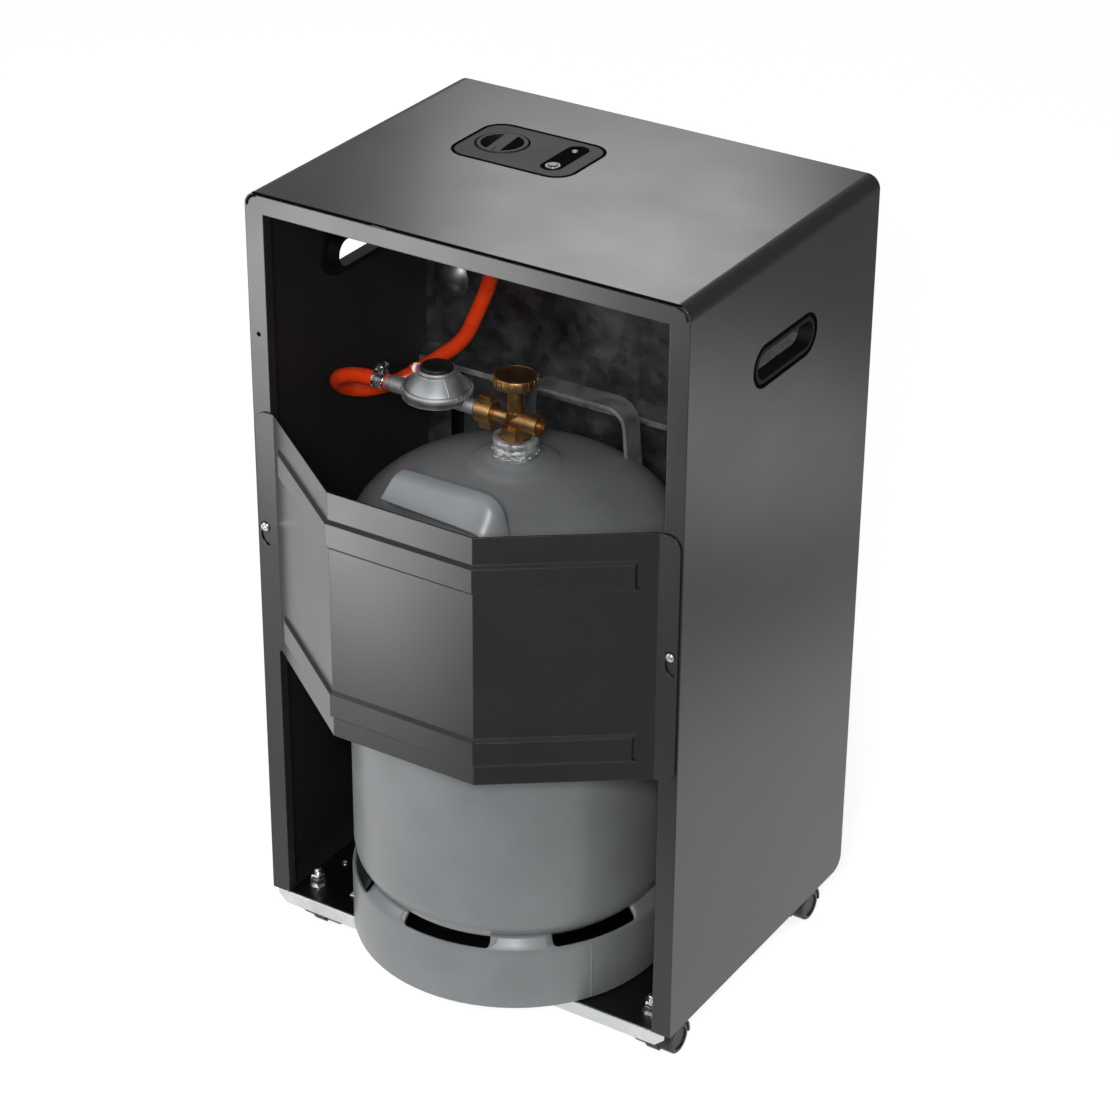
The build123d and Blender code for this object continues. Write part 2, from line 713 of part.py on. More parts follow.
def make_rear_guard():
    """Bent sheet guard across the open rear, with two pressed ribs and keyhole flanges."""
    flange_y = rear_y + gap
    slope = atan2(guard_reach - guard_rib_rise - gap, guard_fold - guard_facet / 2)
    inner_end = guard_fold - sheet / sin(slope)
    with BuildPart() as outer_form:
        with BuildSketch(Plane.XY.offset(guard_bottom)):
            with BuildLine():
                Polyline(*guard_outline(0, guard_fold, flange_y), close=True)
            make_face()
        extrude(amount=guard_height)
        for middle in guard_rib_heights:
            guard_rib(middle, 0, guard_rib_end, rear_y + gap, 0)
    with BuildPart() as inner_form:
        with BuildSketch(Plane.XY.offset(guard_bottom)):
            with BuildLine():
                Polyline(*guard_outline(-sheet, inner_end, flange_y - sheet), close=True)
            make_face()
        extrude(amount=guard_height)
        for middle in guard_rib_heights:
            guard_rib(middle, -sheet, guard_rib_end - sheet, flange_y, -sheet / 2)
    with BuildPart() as guard:
        add(outer_form.part)
        add(inner_form.part, mode=Mode.SUBTRACT)
        for side in (-1, 1):
            with BuildSketch(wall_plane(flange_y)) as flange:
                width = guard_flange_edge - inner_end
                with Locations((side * (inner_end + width / 2), guard_bottom + guard_height / 2)):
                    Rectangle(width, guard_height)
                outer_corners = flange.vertices().group_by(Axis.X)[-1 if side > 0 else 0]
                fillet(outer_corners, guard_corner)
            extrude(amount=-sheet)
        # keyholes: a round entry for the screw's head and a slot that hooks down and aside
        with BuildSketch(wall_plane(flange_y + sheet)):
            for side in (-1, 1):
                with Locations((side * guard_screw_x, guard_screw_z)):
                    Circle(keyhole_diameter / 2)
                x = side * guard_screw_x
                with BuildLine() as hook:
                    ThreePointArc((x + 1, guard_screw_z - 3), (x + 2.5, guard_screw_z - 9),
                                  (x - 2.5, guard_screw_z - 15.5))
                SlotArc(hook.edges()[0], guard_screw_shank + keyhole_slack)
        extrude(amount=2 * sheet, mode=Mode.SUBTRACT)
    save(guard, "rear_guard")


def make_guard_screws():
    """Two pan-head screws standing in the stiles behind the guard's keyholes."""
    with BuildPart() as screws:
        for side in (-1, 1):
            place = (side * guard_screw_x, guard_screw_z)
            with BuildSketch(wall_plane(rear_y - guard_screw_length)):
                with Locations(place):
                    Circle(screw_shank_radius)
            extrude(amount=-(guard_screw_length + gap + 2 * sheet))
            with BuildSketch(wall_plane(rear_y + gap + sheet + guard_screw_play)):
                with Locations(place):
                    Circle(guard_screw_head / 2)
            extrude(amount=-guard_screw_head_height)
        heads = screws.faces().filter_by(Plane.XZ).group_by(Axis.Y)[-1]
        fillet(heads.edges(), 1.2)
    save(screws, "guard_screws")


# ==================================================================== casters
def make_caster(name, x, y):
    """Twin-wheel caster trailing towards the front: hood with its axle, and the wheels."""
    axle_y = y - caster_trail
    web = wheel_gap - 2 * web_play
    hood_inner = wheel_radius + hood_clearance
    hood_outer = hood_inner + hood_wall
    total = wheel_gap + 2 * wheel_width
    with BuildPart() as hood:
        # arched cover over the wheels, open below the axle
        with BuildSketch(side_plane(x - total / 2)):
            with Locations((axle_y, wheel_radius)):
                Circle(hood_outer)
                Circle(hood_inner, mode=Mode.SUBTRACT)
            with Locations((axle_y, 0)):
                Rectangle(2 * hood_outer, 2 * (wheel_radius - hood_skirt), mode=Mode.SUBTRACT)
        extrude(amount=total)
        # web between the wheels, round the axle and under the stem
        with BuildSketch(side_plane(x - web / 2)):
            with Locations((axle_y, wheel_radius)):
                Circle(hood_inner + hood_wall / 2)
            with Locations((axle_y, 0)):
                Rectangle(2 * hood_outer, 6, mode=Mode.SUBTRACT)
            with Locations((y, (stem_foot + hood_top) / 2)):
                Rectangle(2 * hood_neck_radius, hood_top - stem_foot - 4)
        extrude(amount=web)
        # neck that carries the stem's socket
        with BuildSketch(Plane.XY.offset(wheel_radius + hood_outer - hood_wall)):
            with Locations((x, y)):
                Circle(hood_neck_radius)
        extrude(amount=hood_top - (wheel_radius + hood_outer - hood_wall))
        with BuildSketch(Plane.XY.offset(stem_foot - gap)):
            with Locations((x, y)):
                Circle(stem_radius + running)
        extrude(amount=hood_top, mode=Mode.SUBTRACT)
        # axle through the web, one end for each wheel
        with BuildSketch(side_plane(x - total / 2 + axle_inset)):
            with Locations((axle_y, wheel_radius)):
                Circle(axle_radius)
        extrude(amount=total - 2 * axle_inset)
    save(hood, f"caster_hood_{name}")
    with BuildPart() as wheels:
        for side in (-1, 1):
            with BuildSketch(side_plane(x + side * wheel_gap / 2)):
                with Locations((axle_y, wheel_radius)):
                    Circle(wheel_radius)
            extrude(amount=side * wheel_width)
        tread_edges = wheels.edges().filter_by(GeomType.CIRCLE)
        fillet(tread_edges, wheel_rounding)
        for side in (-1, 1):
            # shallow dish in the outer face, and the blind bore from the inner face
            with BuildSketch(side_plane(x + side * total / 2)):
                with Locations((axle_y, wheel_radius)):
                    Circle(wheel_radius - wheel_dish_rim)
            extrude(amount=-side * wheel_dish_depth, mode=Mode.SUBTRACT)
            with BuildSketch(side_plane(x + side * wheel_gap / 2)):
                with Locations((axle_y, wheel_radius)):
                    Circle(axle_radius + running)
            extrude(amount=side * (wheel_width - axle_inset + gap), mode=Mode.SUBTRACT)
    save(wheels, f"caster_wheels_{name}")


def make_caster_stems():
    """Threaded stems of the four casters, standing through the tray."""
    with BuildPart() as stems:
        with BuildSketch(Plane.XY.offset(stem_foot)):
            with Locations(*caster_places().values()):
                Circle(stem_radius)
        extrude(amount=stem_top - stem_foot)
        tips = stems.faces().group_by(Axis.Z)[-1]
        chamfer(tips.edges(), stem_chamfer)
    save(stems, "caster_stems")


def make_caster_nuts():
    """A washer and two nuts on each stem, tight on the tray."""
    with BuildPart() as nuts:
        with BuildSketch(Plane.XY.offset(floor_gap)):
            with Locations(*caster_places().values()):
                Circle(washer_radius)
                Circle(stem_radius, mode=Mode.SUBTRACT)
        extrude(amount=washer_height)
        with BuildSketch(Plane.XY.offset(floor_gap + washer_height)):
            with Locations(*caster_places().values()):
                RegularPolygon(nut_across_flats / 2, 6, major_radius=False)
                Circle(stem_radius, mode=Mode.SUBTRACT)
        extrude(amount=nut_height)
    save(nuts, "caster_nuts")


# ==================================================================== control panel
def make_control_deck():
    """Black moulded deck under the top sheet: carries the plate, the knob's cup and the igniter."""
    cup_radius = knob_radius + knob_gap
    cup_floor = cup_bottom + cup_wall
    with BuildPart() as deck:
        with BuildSketch(Plane.XY.offset(inside_top - deck_thickness)):
            with Locations(panel_middle):
                RectangleRounded(panel_width + 2 * deck_margin, panel_length + 2 * deck_margin,
                                 panel_corner + deck_margin)
        extrude(amount=deck_thickness)
        with BuildSketch(Plane.XY.offset(cup_bottom)):
            with Locations((knob_x, knob_y)):
                Circle(cup_radius + cup_wall)
        extrude(amount=inside_top - cup_bottom)
        with BuildSketch(Plane.XY.offset(cup_floor)):
            with Locations((knob_x, knob_y)):
                Circle(cup_radius)
        extrude(amount=inside_top - cup_floor, mode=Mode.SUBTRACT)
        with BuildSketch(Plane.XY.offset(cup_bottom)):
            with Locations((knob_x, knob_y)):
                Circle(spindle_radius + spindle_hole_play)
            with Locations((igniter_x, igniter_y)):
                Circle(igniter_neck_radius)
        extrude(amount=inside_top - cup_bottom, mode=Mode.SUBTRACT)
        # two posts that carry the gas tap
        with BuildSketch(Plane.XY.offset(tap_top)):
            with Locations((knob_x - tap_post, knob_y), (knob_x + tap_post, knob_y)):
                Circle(tap_post_radius)
        extrude(amount=cup_floor - tap_top)
    save(deck, "control_deck")


def make_control_plate():
    """Painted plate flush with the top, with the knob's hole and the oblong recess."""
    with BuildPart() as plate:
        with BuildSketch(Plane.XY.offset(inside_top)):
            with Locations(panel_middle):
                RectangleRounded(panel_width, panel_length, panel_corner)
            with Locations((knob_x, knob_y)):
                Circle(knob_radius + knob_gap, mode=Mode.SUBTRACT)
            with Locations((oblong_x, knob_y)):
                SlotOverall(oblong_length, oblong_width, rotation=90, mode=Mode.SUBTRACT)
        extrude(amount=sheet)
    save(plate, "control_plate")


def make_button_plate():
    """Black gloss oblong round the igniter button and its fixing screw."""
    with BuildPart() as oblong:
        with BuildSketch(Plane.XY.offset(inside_top)):
            with Locations((oblong_x, knob_y)):
                SlotOverall(oblong_length, oblong_width, rotation=90)
            with Locations((igniter_x, igniter_y)):
                Circle(igniter_neck_radius, mode=Mode.SUBTRACT)
        extrude(amount=sheet - oblong_recess)
    save(oblong, "button_plate")


def make_panel_screw():
    """Small dome-head screw at the other end of the oblong."""
    with BuildPart() as screw:
        with BuildSketch(Plane.XY.offset(oblong_top)):
            with Locations((panel_screw_x, panel_screw_y)):
                Circle(panel_screw_radius)
        extrude(amount=panel_screw_height)
        fillet(screw.faces().sort_by(Axis.Z)[-1].edges(), panel_screw_rounding)
    save(screw, "panel_screw")


def make_control_knob():
    """Flush round knob with two half-moon finger recesses and a bar between them."""
    with BuildPart() as knob:
        with BuildSketch(Plane.XY.offset(knob_top - knob_height)):
            with Locations((knob_x, knob_y)):
                Circle(knob_radius)
        extrude(amount=knob_height)
        fillet(knob.faces().sort_by(Axis.Z)[-1].edges(), knob_rounding)
        bar = Plane(origin=(knob_x, knob_y, knob_top - knob_recess_depth)).rotated((0, 0, knob_twist))
        with BuildSketch(bar):
            Circle(knob_recess_radius)
            Rectangle(knob_bar, 2 * knob_radius, mode=Mode.SUBTRACT)
        extrude(amount=knob_height, mode=Mode.SUBTRACT)
        # pointer groove at the rear end of the bar
        with BuildSketch(bar.offset(knob_recess_depth - pointer_depth)):
            with Locations((0, knob_radius - 2 * pointer_length / 3)):
                Rectangle(pointer_width, pointer_length)
        extrude(amount=knob_height, mode=Mode.SUBTRACT)
        with BuildSketch(Plane.XY.offset(knob_top - knob_height)):
            with Locations((knob_x, knob_y)):
                Circle(spindle_radius)
        extrude(amount=spindle_socket, mode=Mode.SUBTRACT)
    save(knob, "control_knob")


def make_tap_spindle():
    """Spindle pressed into the knob, down through the collar into the tap."""
    with BuildPart() as spindle:
        with BuildSketch(Plane.XY.offset(spindle_bottom)):
            with Locations((knob_x, knob_y)):
                Circle(spindle_radius)
        extrude(amount=knob_top - knob_height + spindle_socket - spindle_bottom)
    save(spindle, "tap_spindle")


def make_push_collar():
    """Collar on the spindle that the tap's spring lifts; it slides with the knob."""
    with BuildPart() as collar:
        with BuildSketch(Plane.XY.offset(collar_bottom)):
            with Locations((knob_x, knob_y)):
                Circle(collar_radius)
                Circle(spindle_radius + running, mode=Mode.SUBTRACT)
        extrude(amount=collar_height)
    save(collar, "push_collar")


def make_gas_tap():
    """Die-cast tap under the deck: body, bonnet, inlet nozzle and burner outlet."""
    with BuildPart() as tap:
        with BuildSketch(Plane.XY.offset(tap_bottom)) as body:
            with Locations((knob_x, knob_y)):
                Circle(tap_radius)
                Rectangle(tap_width, tap_depth)
            fillet(body.vertices(), tap_rounding)
        extrude(amount=tap_top - tap_bottom)
        with BuildSketch(Plane.XY.offset(tap_top)):
            with Locations((knob_x, knob_y)):
                Circle(bonnet_radius)
        extrude(amount=bonnet_height)
        with BuildSketch(Plane.XY.offset(hose_top)):
            with Locations((tap_nozzle_x, knob_y)):
                Circle(tap_nozzle_radius)
        extrude(amount=tap_bottom - hose_top)
        with BuildSketch(Plane.XY.offset(hose_top)):
            with Locations((tap_nozzle_x, knob_y)):
                Circle(tap_nozzle_radius + tap_nozzle_collar)
        extrude(amount=tap_nozzle_collar_height)
        # outlet towards the burner
        with BuildSketch(wall_plane(feed_start_y + tap_outlet_length)):
            with Locations((knob_x, feed_z)):
                Circle(tap_outlet_radius)
        extrude(amount=tap_outlet_length)
        with BuildSketch(Plane.XY.offset(spindle_bottom - knob_push - gap)):
            with Locations((knob_x, knob_y)):
                Circle(spindle_radius + running)
        extrude(amount=tap_height, mode=Mode.SUBTRACT)
    save(tap, "gas_tap")


def make_igniter():
    """Piezo igniter: threaded barrel with a bright bezel, and the button that travels in it."""
    button_top = oblong_top + igniter_bezel_height + igniter_lift
    button_foot = button_top - igniter_button_length
    with BuildPart() as barrel:
        with BuildSketch(Plane.XY.offset(inside_top - deck_thickness - igniter_barrel_length)):
            with Locations((igniter_x, igniter_y)):
                Circle(igniter_barrel_radius)
        extrude(amount=igniter_barrel_length)
        with BuildSketch(Plane.XY.offset(inside_top - deck_thickness)):
            with Locations((igniter_x, igniter_y)):
                Circle(igniter_neck_radius)
        extrude(amount=oblong_top - inside_top + deck_thickness)
        with BuildSketch(Plane.XY.offset(oblong_top)):
            with Locations((igniter_x, igniter_y)):
                Circle(igniter_bezel_radius)
        extrude(amount=igniter_bezel_height)
        fillet(barrel.faces().sort_by(Axis.Z)[-1].edges(), igniter_bezel_rounding)
        with BuildSketch(Plane.XY.offset(button_foot - igniter_travel - gap)):
            with Locations((igniter_x, igniter_y)):
                Circle(igniter_button_radius + running)
        extrude(amount=igniter_barrel_length, mode=Mode.SUBTRACT)
    save(barrel, "igniter_body")
    with BuildPart() as button:
        with BuildSketch(Plane.XY.offset(button_foot)):
            with Locations((igniter_x, igniter_y)):
                Circle(igniter_button_radius)
        extrude(amount=button_top - button_foot)
        fillet(button.faces().sort_by(Axis.Z)[-1].edges(), igniter_button_rounding)
    save(button, "igniter_button")


# ==================================================================== gas bottle
def vessel_form(inset):
    """Solid of the vessel shrunk by inset: bottom dome, cylinder and top dome."""
    radius = bottle_radius - inset
    low = bottle_heel_z - bottle_heel + inset
    high = bottle_shoulder_z + bottle_dome - inset
    with BuildPart() as form:
        with BuildSketch(axis_plane(bottle_x, bottle_y)):
            with BuildLine():
                EllipticalCenterArc((0, bottle_shoulder_z), radius, high - bottle_shoulder_z,
                                    start_angle=0, arc_size=90)
                Line((0, high), (0, low))
                EllipticalCenterArc((0, bottle_heel_z), radius, bottle_heel_z - low,
                                    start_angle=270, arc_size=90)
                Line((radius, bottle_heel_z), (radius, bottle_shoulder_z))
            make_face()
        revolve(axis=upright(bottle_x, bottle_y))
    return form.part


def make_gas_bottle(envelope):
    """Hollow welded vessel with a pad and a hole for the valve."""
    hollow = vessel_form(bottle_wall)
    with BuildPart() as bottle:
        add(envelope)
        with BuildSketch(Plane.XY.offset(neck_pad_bottom)):
            with Locations((bottle_x, bottle_y)):
                Circle(neck_pad_radius)
        extrude(amount=neck_pad_height, taper=neck_pad_slope)
        add(hollow, mode=Mode.SUBTRACT)
        with BuildSketch(Plane.XY.offset(bottle_shoulder_z)):
            with Locations((bottle_x, bottle_y)):
                Circle(neck_hole_radius)
        extrude(amount=2 * bottle_dome, mode=Mode.SUBTRACT)
    save(bottle, "gas_bottle")


def make_foot_ring(envelope):
    """Foot ring under the vessel, rolled at both edges, with slots along its top."""
    inner = foot_ring_radius - foot_ring_wall
    foot = inner - foot_ring_roll
    lap = inner - foot_ring_lap
    slot_root = lap - foot_ring_lap
    slot_tip = foot_ring_radius + foot_ring_wall
    with BuildPart() as ring:
        with BuildSketch(axis_plane(bottle_x, bottle_y)) as section:
            with BuildLine():
                Polyline((foot, floor_gap), (foot_ring_radius, floor_gap),
                         (foot_ring_radius, foot_ring_top), (lap, foot_ring_top),
                         (lap, foot_ring_top - foot_ring_wall),
                         (inner, foot_ring_top - foot_ring_wall - foot_ring_lap),
                         (inner, floor_gap + foot_ring_wall),
                         (foot, floor_gap + foot_ring_wall), close=True)
            make_face()
            fillet(section.vertices().group_by(Axis.X)[-1], foot_ring_rounding)
        revolve(axis=upright(bottle_x, bottle_y))
        add(envelope, mode=Mode.SUBTRACT)
        # slots through the wall just under the weld
        slot_low = foot_ring_top - foot_slot_drop - foot_slot_height
        slope = tan(radians(foot_slot_angle / 2))
        for number in range(foot_slots):
            turn = foot_slot_turn + number * 360 / foot_slots
            wedge = Plane(origin=(bottle_x, bottle_y, slot_low)).rotated((0, 0, turn))
            with BuildSketch(wedge):
                with BuildLine():
                    Polyline((slot_root, -slot_root * slope), (slot_tip, -slot_tip * slope),
                             (slot_tip, slot_tip * slope), (slot_root, slot_root * slope),
                             close=True)
                make_face()
            extrude(amount=foot_slot_height, mode=Mode.SUBTRACT)
        slot_ends = ring.edges().filter_by(
            lambda edge: edge.geom_type == GeomType.LINE
            and edge.length < foot_ring_wall * 1.3
            and edge.length > foot_ring_wall * 0.9
            and edge.center().Z < slot_low + 0.1 and edge.center().Z > slot_low - 0.1)
        fillet(slot_ends, foot_slot_corner)
    save(ring, "foot_ring")


def make_neck_ring():
    """Galvanised boss round the valve's thread, with two grooves."""
    with BuildPart() as ring:
        with BuildSketch(Plane.XY.offset(neck_ring_bottom)):
            with Locations((bottle_x, bottle_y)):
                Circle(neck_ring_radius)
                Circle(neck_hole_radius, mode=Mode.SUBTRACT)
        extrude(amount=neck_ring_height)
        outer_edge = ring.faces().sort_by(Axis.Z)[-1].edges().sort_by(Edge.length)[-1:]
        chamfer(outer_edge, neck_ring_chamfer)
        for height in neck_groove_heights:
            with BuildSketch(Plane.XY.offset(neck_ring_bottom + height)):
                with Locations((bottle_x, bottle_y)):
                    Circle(neck_ring_radius + neck_groove_depth)
                    Circle(neck_ring_radius - neck_groove_depth, mode=Mode.SUBTRACT)
            extrude(amount=neck_groove_width, mode=Mode.SUBTRACT)
    save(ring, "neck_ring")


def carry_outline(inset):
    """Corners of a carry handle seen from the front, shrunk by inset: splayed legs, flat top."""
    top = carry_top - inset
    half_top = carry_width / 2 - inset
    half_foot = half_top + carry_splay
    return [(bottle_x - half_foot, bottle_shoulder_z), (bottle_x - half_top, top),
            (bottle_x + half_top, top), (bottle_x + half_foot, bottle_shoulder_z)]


def carry_sketch(plane, inset, corner):
    """Outline of a carry handle on a plane, with its upper corners rounded."""
    with BuildSketch(plane) as outline:
        with BuildLine():
            Polyline(*carry_outline(inset), close=True)
        make_face()
        fillet(outline.vertices().group_by(Axis.Y)[-1], corner)
    return outline.sketch


def rolled_handle(inset):
    """Solid of the near handle shrunk by inset, with its upper rear edge rolled over."""
    start = bottle_y + carry_radius - carry_depth / 2 - inset
    with BuildPart() as form:
        extrude(carry_sketch(wall_plane(start), inset, carry_corner - inset), amount=-carry_depth)
        rear = form.faces().filter_by(Plane.XZ).sort_by(Axis.Y)[-1]
        upper = rear.edges().filter_by(lambda edge: edge.center().Z > carry_top - carry_corner)
        fillet(upper, carry_roll - inset)
    return form.part


def make_carry_handle_rear(envelope):
    """Near handle: a wide strap whose grip is rolled over into a rounded face."""
    outside = rolled_handle(0)
    hollow = rolled_handle(carry_strap)
    with BuildPart() as handle:
        add(outside)
        add(hollow, mode=Mode.SUBTRACT)
        # hand gap under the rounded face
        with BuildSketch(wall_plane(bottle_y + carry_radius)):
            with Locations((bottle_x, (bottle_shoulder_z + carry_top - hood_drop) / 2)):
                Rectangle(carry_width - 2 * hood_leg, carry_top - hood_drop - bottle_shoulder_z)
        extrude(amount=-carry_depth, mode=Mode.SUBTRACT)
        add(envelope, mode=Mode.SUBTRACT)
    save(handle, "carry_handle_rear")


def make_carry_handle_front(envelope):
    """Far handle: a plain bent strap."""
    far_y = bottle_y - carry_radius + carry_depth / 2
    with BuildPart() as handle:
        extrude(carry_sketch(wall_plane(far_y), 0, carry_corner), amount=carry_depth)
        hollow = carry_sketch(wall_plane(far_y + 1), carry_strap, carry_corner - carry_strap)
        extrude(hollow, amount=carry_depth + 2, mode=Mode.SUBTRACT)
        add(envelope, mode=Mode.SUBTRACT)
    save(handle, "carry_handle_front")


# ==================================================================== valve and regulator
def cross_plane(x):
    """Plane square to the gas line's axis, at x; its origin lies on that axis."""
    return Plane(origin=(x, bottle_y, gas_axis_z), x_dir=(0, 1, 0), z_dir=(1, 0, 0))


def round_bar(x_from, x_to, radius):
    """Round bar along the gas line's axis."""
    with BuildSketch(cross_plane(x_from)) as section:
        Circle(radius)
    extrude(section.sketch, amount=x_to - x_from)


def make_bottle_valve():
    """Brass valve: threaded shank, hexagon, body, threaded outlet and relief port."""
    with BuildPart() as valve:
        with BuildSketch(Plane.XY.offset(neck_ring_bottom - valve_shank)):
            with Locations((bottle_x, bottle_y)):
                Circle(neck_hole_radius)
        extrude(amount=neck_ring_height + valve_shank)
        with BuildSketch(Plane.XY.offset(neck_ring_top)):
            with Locations((bottle_x, bottle_y)):
                RegularPolygon(valve_hex / 2, 6, major_radius=False)
        extrude(amount=valve_hex_height)
        with BuildSketch(Plane.XY.offset(valve_hex_top)):
            with Locations((bottle_x, bottle_y)):
                Circle(valve_body_radius)
        extrude(amount=valve_body_top - valve_hex_top)
        with BuildSketch(Plane.XY.offset(valve_body_top)):
            with Locations((bottle_x, bottle_y)):
                Circle(valve_bonnet_radius)
        extrude(amount=valve_top - valve_body_top)
        round_bar(bottle_x, bottle_x + valve_outlet_length, valve_outlet_radius)
        round_bar(bottle_x - relief_length, bottle_x, relief_radius)
        with BuildSketch(cross_plane(bottle_x - relief_length)):
            Circle(relief_radius - relief_wall)
        extrude(amount=relief_depth, mode=Mode.SUBTRACT)
        with BuildSketch(Plane.XY.offset(gas_axis_z)):
            with Locations((bottle_x, bottle_y)):
                Circle(valve_spindle_radius + running)
        extrude(amount=valve_top, mode=Mode.SUBTRACT)
    save(valve, "bottle_valve")


def make_handwheel():
    """Fluted brass handwheel."""
    with BuildPart() as wheel:
        with BuildSketch(Plane.XY.offset(handwheel_bottom)):
            with Locations((bottle_x, bottle_y)):
                Circle(handwheel_radius)
                with PolarLocations(handwheel_radius, handwheel_flutes):
                    Circle(handwheel_flute_radius, mode=Mode.SUBTRACT)
        extrude(amount=handwheel_height - handwheel_rim)
        with BuildSketch(Plane.XY.offset(handwheel_top - handwheel_rim)):
            with Locations((bottle_x, bottle_y)):
                Circle(handwheel_radius)
        extrude(amount=handwheel_rim)
        fillet(wheel.faces().sort_by(Axis.Z)[-1].edges(), handwheel_rounding)
        with BuildSketch(Plane.XY.offset(handwheel_top)):
            with Locations((bottle_x, bottle_y)):
                Circle(handwheel_radius - handwheel_rim)
        extrude(amount=-handwheel_dish, mode=Mode.SUBTRACT)
        with BuildSketch(Plane.XY.offset(handwheel_bottom)):
            with Locations((bottle_x, bottle_y)):
                Circle(valve_spindle_radius)
        extrude(amount=handwheel_height / 2, mode=Mode.SUBTRACT)
    save(wheel, "handwheel")
    with BuildPart() as spindle:
        with BuildSketch(Plane.XY.offset(gas_axis_z + gap)):
            with Locations((bottle_x, bottle_y)):
                Circle(valve_spindle_radius)
        extrude(amount=handwheel_bottom + handwheel_height / 2 - gas_axis_z - gap)
    save(spindle, "handwheel_spindle")
    with BuildPart() as cap:
        with BuildSketch(Plane.XY.offset(handwheel_top - handwheel_dish)):
            with Locations((bottle_x, bottle_y)):
                Circle(handwheel_radius - handwheel_rim)
        extrude(amount=handwheel_cap_height)
        fillet(cap.faces().sort_by(Axis.Z)[-1].edges(), handwheel_cap_rounding)
    save(cap, "handwheel_cap")


def make_union_nut():
    """Brass hand nut with two wings that draws the regulator onto the valve."""
    start = bottle_x + nut_start
    with BuildPart() as nut:
        round_bar(start, start + nut_length, nut_radius)
        fillet(nut.edges().filter_by(GeomType.CIRCLE), nut_rounding)
        with BuildSketch(cross_plane(start + nut_wing_setback)):
            Rectangle(nut_wing_width, 2 * (nut_radius + nut_wing))
        extrude(amount=nut_wing_length)
        with BuildSketch(cross_plane(start)):
            Circle(valve_outlet_radius + running)
        extrude(amount=nut_length, mode=Mode.SUBTRACT)
    save(nut, "union_nut")


def make_regulator_body():
    """Zinc die-cast lower body of the regulator with its inlet stub and outlet boss."""
    stub_start = bottle_x + valve_outlet_length
    with BuildPart() as body:
        with BuildSketch(axis_plane(regulator_x, bottle_y)):
            with BuildLine():
                Polyline((0, bowl_bottom), (bowl_foot_radius, bowl_bottom),
                         (bowl_radius, rim_bottom - rim_flare),
                         (rim_radius, rim_bottom), (0, rim_bottom), close=True)
            make_face()
        revolve(axis=upright(regulator_x, bottle_y))
        round_bar(stub_start, regulator_x, stub_radius)
        round_bar(bottle_x + nut_start + nut_length + boss_gap, regulator_x, boss_radius)
        round_bar(regulator_x, regulator_x + boss_reach, boss_radius)
        # seat of the cover's rim
        with BuildSketch(Plane.XY.offset(rim_bottom)):
            with Locations((regulator_x, bottle_y)):
                Circle(rim_radius)
        extrude(amount=rim_height * 2, mode=Mode.SUBTRACT)
    save(body, "regulator_body")


def make_regulator_cover():
    """Domed upper half of the regulator with its rolled rim and the vent boss."""
    rim_top = rim_bottom + rim_height
    groove_z = rim_bottom + rim_groove_height + rim_groove
    with BuildPart() as cover:
        with BuildSketch(axis_plane(regulator_x, bottle_y)):
            with BuildLine():
                Polyline((0, dome_top), (0, rim_bottom), (rim_radius, rim_bottom),
                         (rim_radius, groove_z - rim_groove),
                         (rim_radius - rim_groove_depth, groove_z),
                         (rim_radius - rim_lip, groove_z + rim_groove),
                         (rim_radius - rim_lip, rim_top), (dome_base_radius, rim_top))
                ThreePointArc((dome_base_radius, rim_top),
                              (dome_middle_radius, rim_top + dome_middle_rise),
                              (dome_top_radius, dome_top - dome_edge))
                Polyline((dome_top_radius, dome_top - dome_edge), (dome_top_radius, dome_top),
                         (0, dome_top))
            make_face()
        revolve(axis=upright(regulator_x, bottle_y))
        with BuildSketch(vent_plane(regulator_x + vent_boss_root)):
            Circle(vent_collar_radius + vent_boss_margin)
        extrude(amount=vent_boss_reach - vent_boss_root)
        # flat seat of the collar, and the bore that the button travels in
        with BuildSketch(vent_plane(vent_boss_end)):
            Circle(vent_collar_radius + vent_boss_margin)
        extrude(amount=dome_base_radius, mode=Mode.SUBTRACT)
        with BuildSketch(vent_plane(vent_boss_end)):
            Circle(vent_button_radius + running)
        extrude(amount=-(vent_button_root + vent_travel + gap), mode=Mode.SUBTRACT)
    save(cover, "regulator_cover")


def vent_plane(x):
    """Plane square to the regulator's side button, at x."""
    return Plane(origin=(x, bottle_y, vent_z), x_dir=(0, 1, 0), z_dir=(1, 0, 0))


def make_regulator_cap():
    """Flat black cap on top of the regulator."""
    with BuildPart() as cap:
        with BuildSketch(Plane.XY.offset(dome_top)):
            with Locations((regulator_x, bottle_y)):
                Circle(cap_radius)
        extrude(amount=cap_height)
        fillet(cap.faces().sort_by(Axis.Z)[-1].edges(), cap_rounding)
    save(cap, "regulator_cap")


def make_vent_button():
    """White collar on the regulator's side and the red button that is pressed in it."""
    with BuildPart() as collar:
        with BuildSketch(vent_plane(vent_boss_end)):
            Circle(vent_collar_radius)
            Circle(vent_button_radius + running, mode=Mode.SUBTRACT)
        extrude(amount=vent_collar_length)
    save(collar, "vent_collar")
    with BuildPart() as button:
        with BuildSketch(vent_plane(vent_boss_end - vent_button_root)):
            Circle(vent_button_radius)
        extrude(amount=vent_button_root + vent_collar_length + vent_button_length)
        fillet(button.faces().sort_by(Axis.X)[-1].edges(), vent_button_rounding)
    save(button, "vent_button")


def make_hose_coupling():
    """Dark coupling between the regulator's outlet boss and the hose."""
    with BuildPart() as coupling:
        round_bar(coupling_start, hose_end_x, coupling_radius)
        for ring_start in coupling_ring_starts:
            ring_x = coupling_start + ring_start
            round_bar(ring_x, ring_x + coupling_ring_width, coupling_ring_radius)
    save(coupling, "hose_coupling")


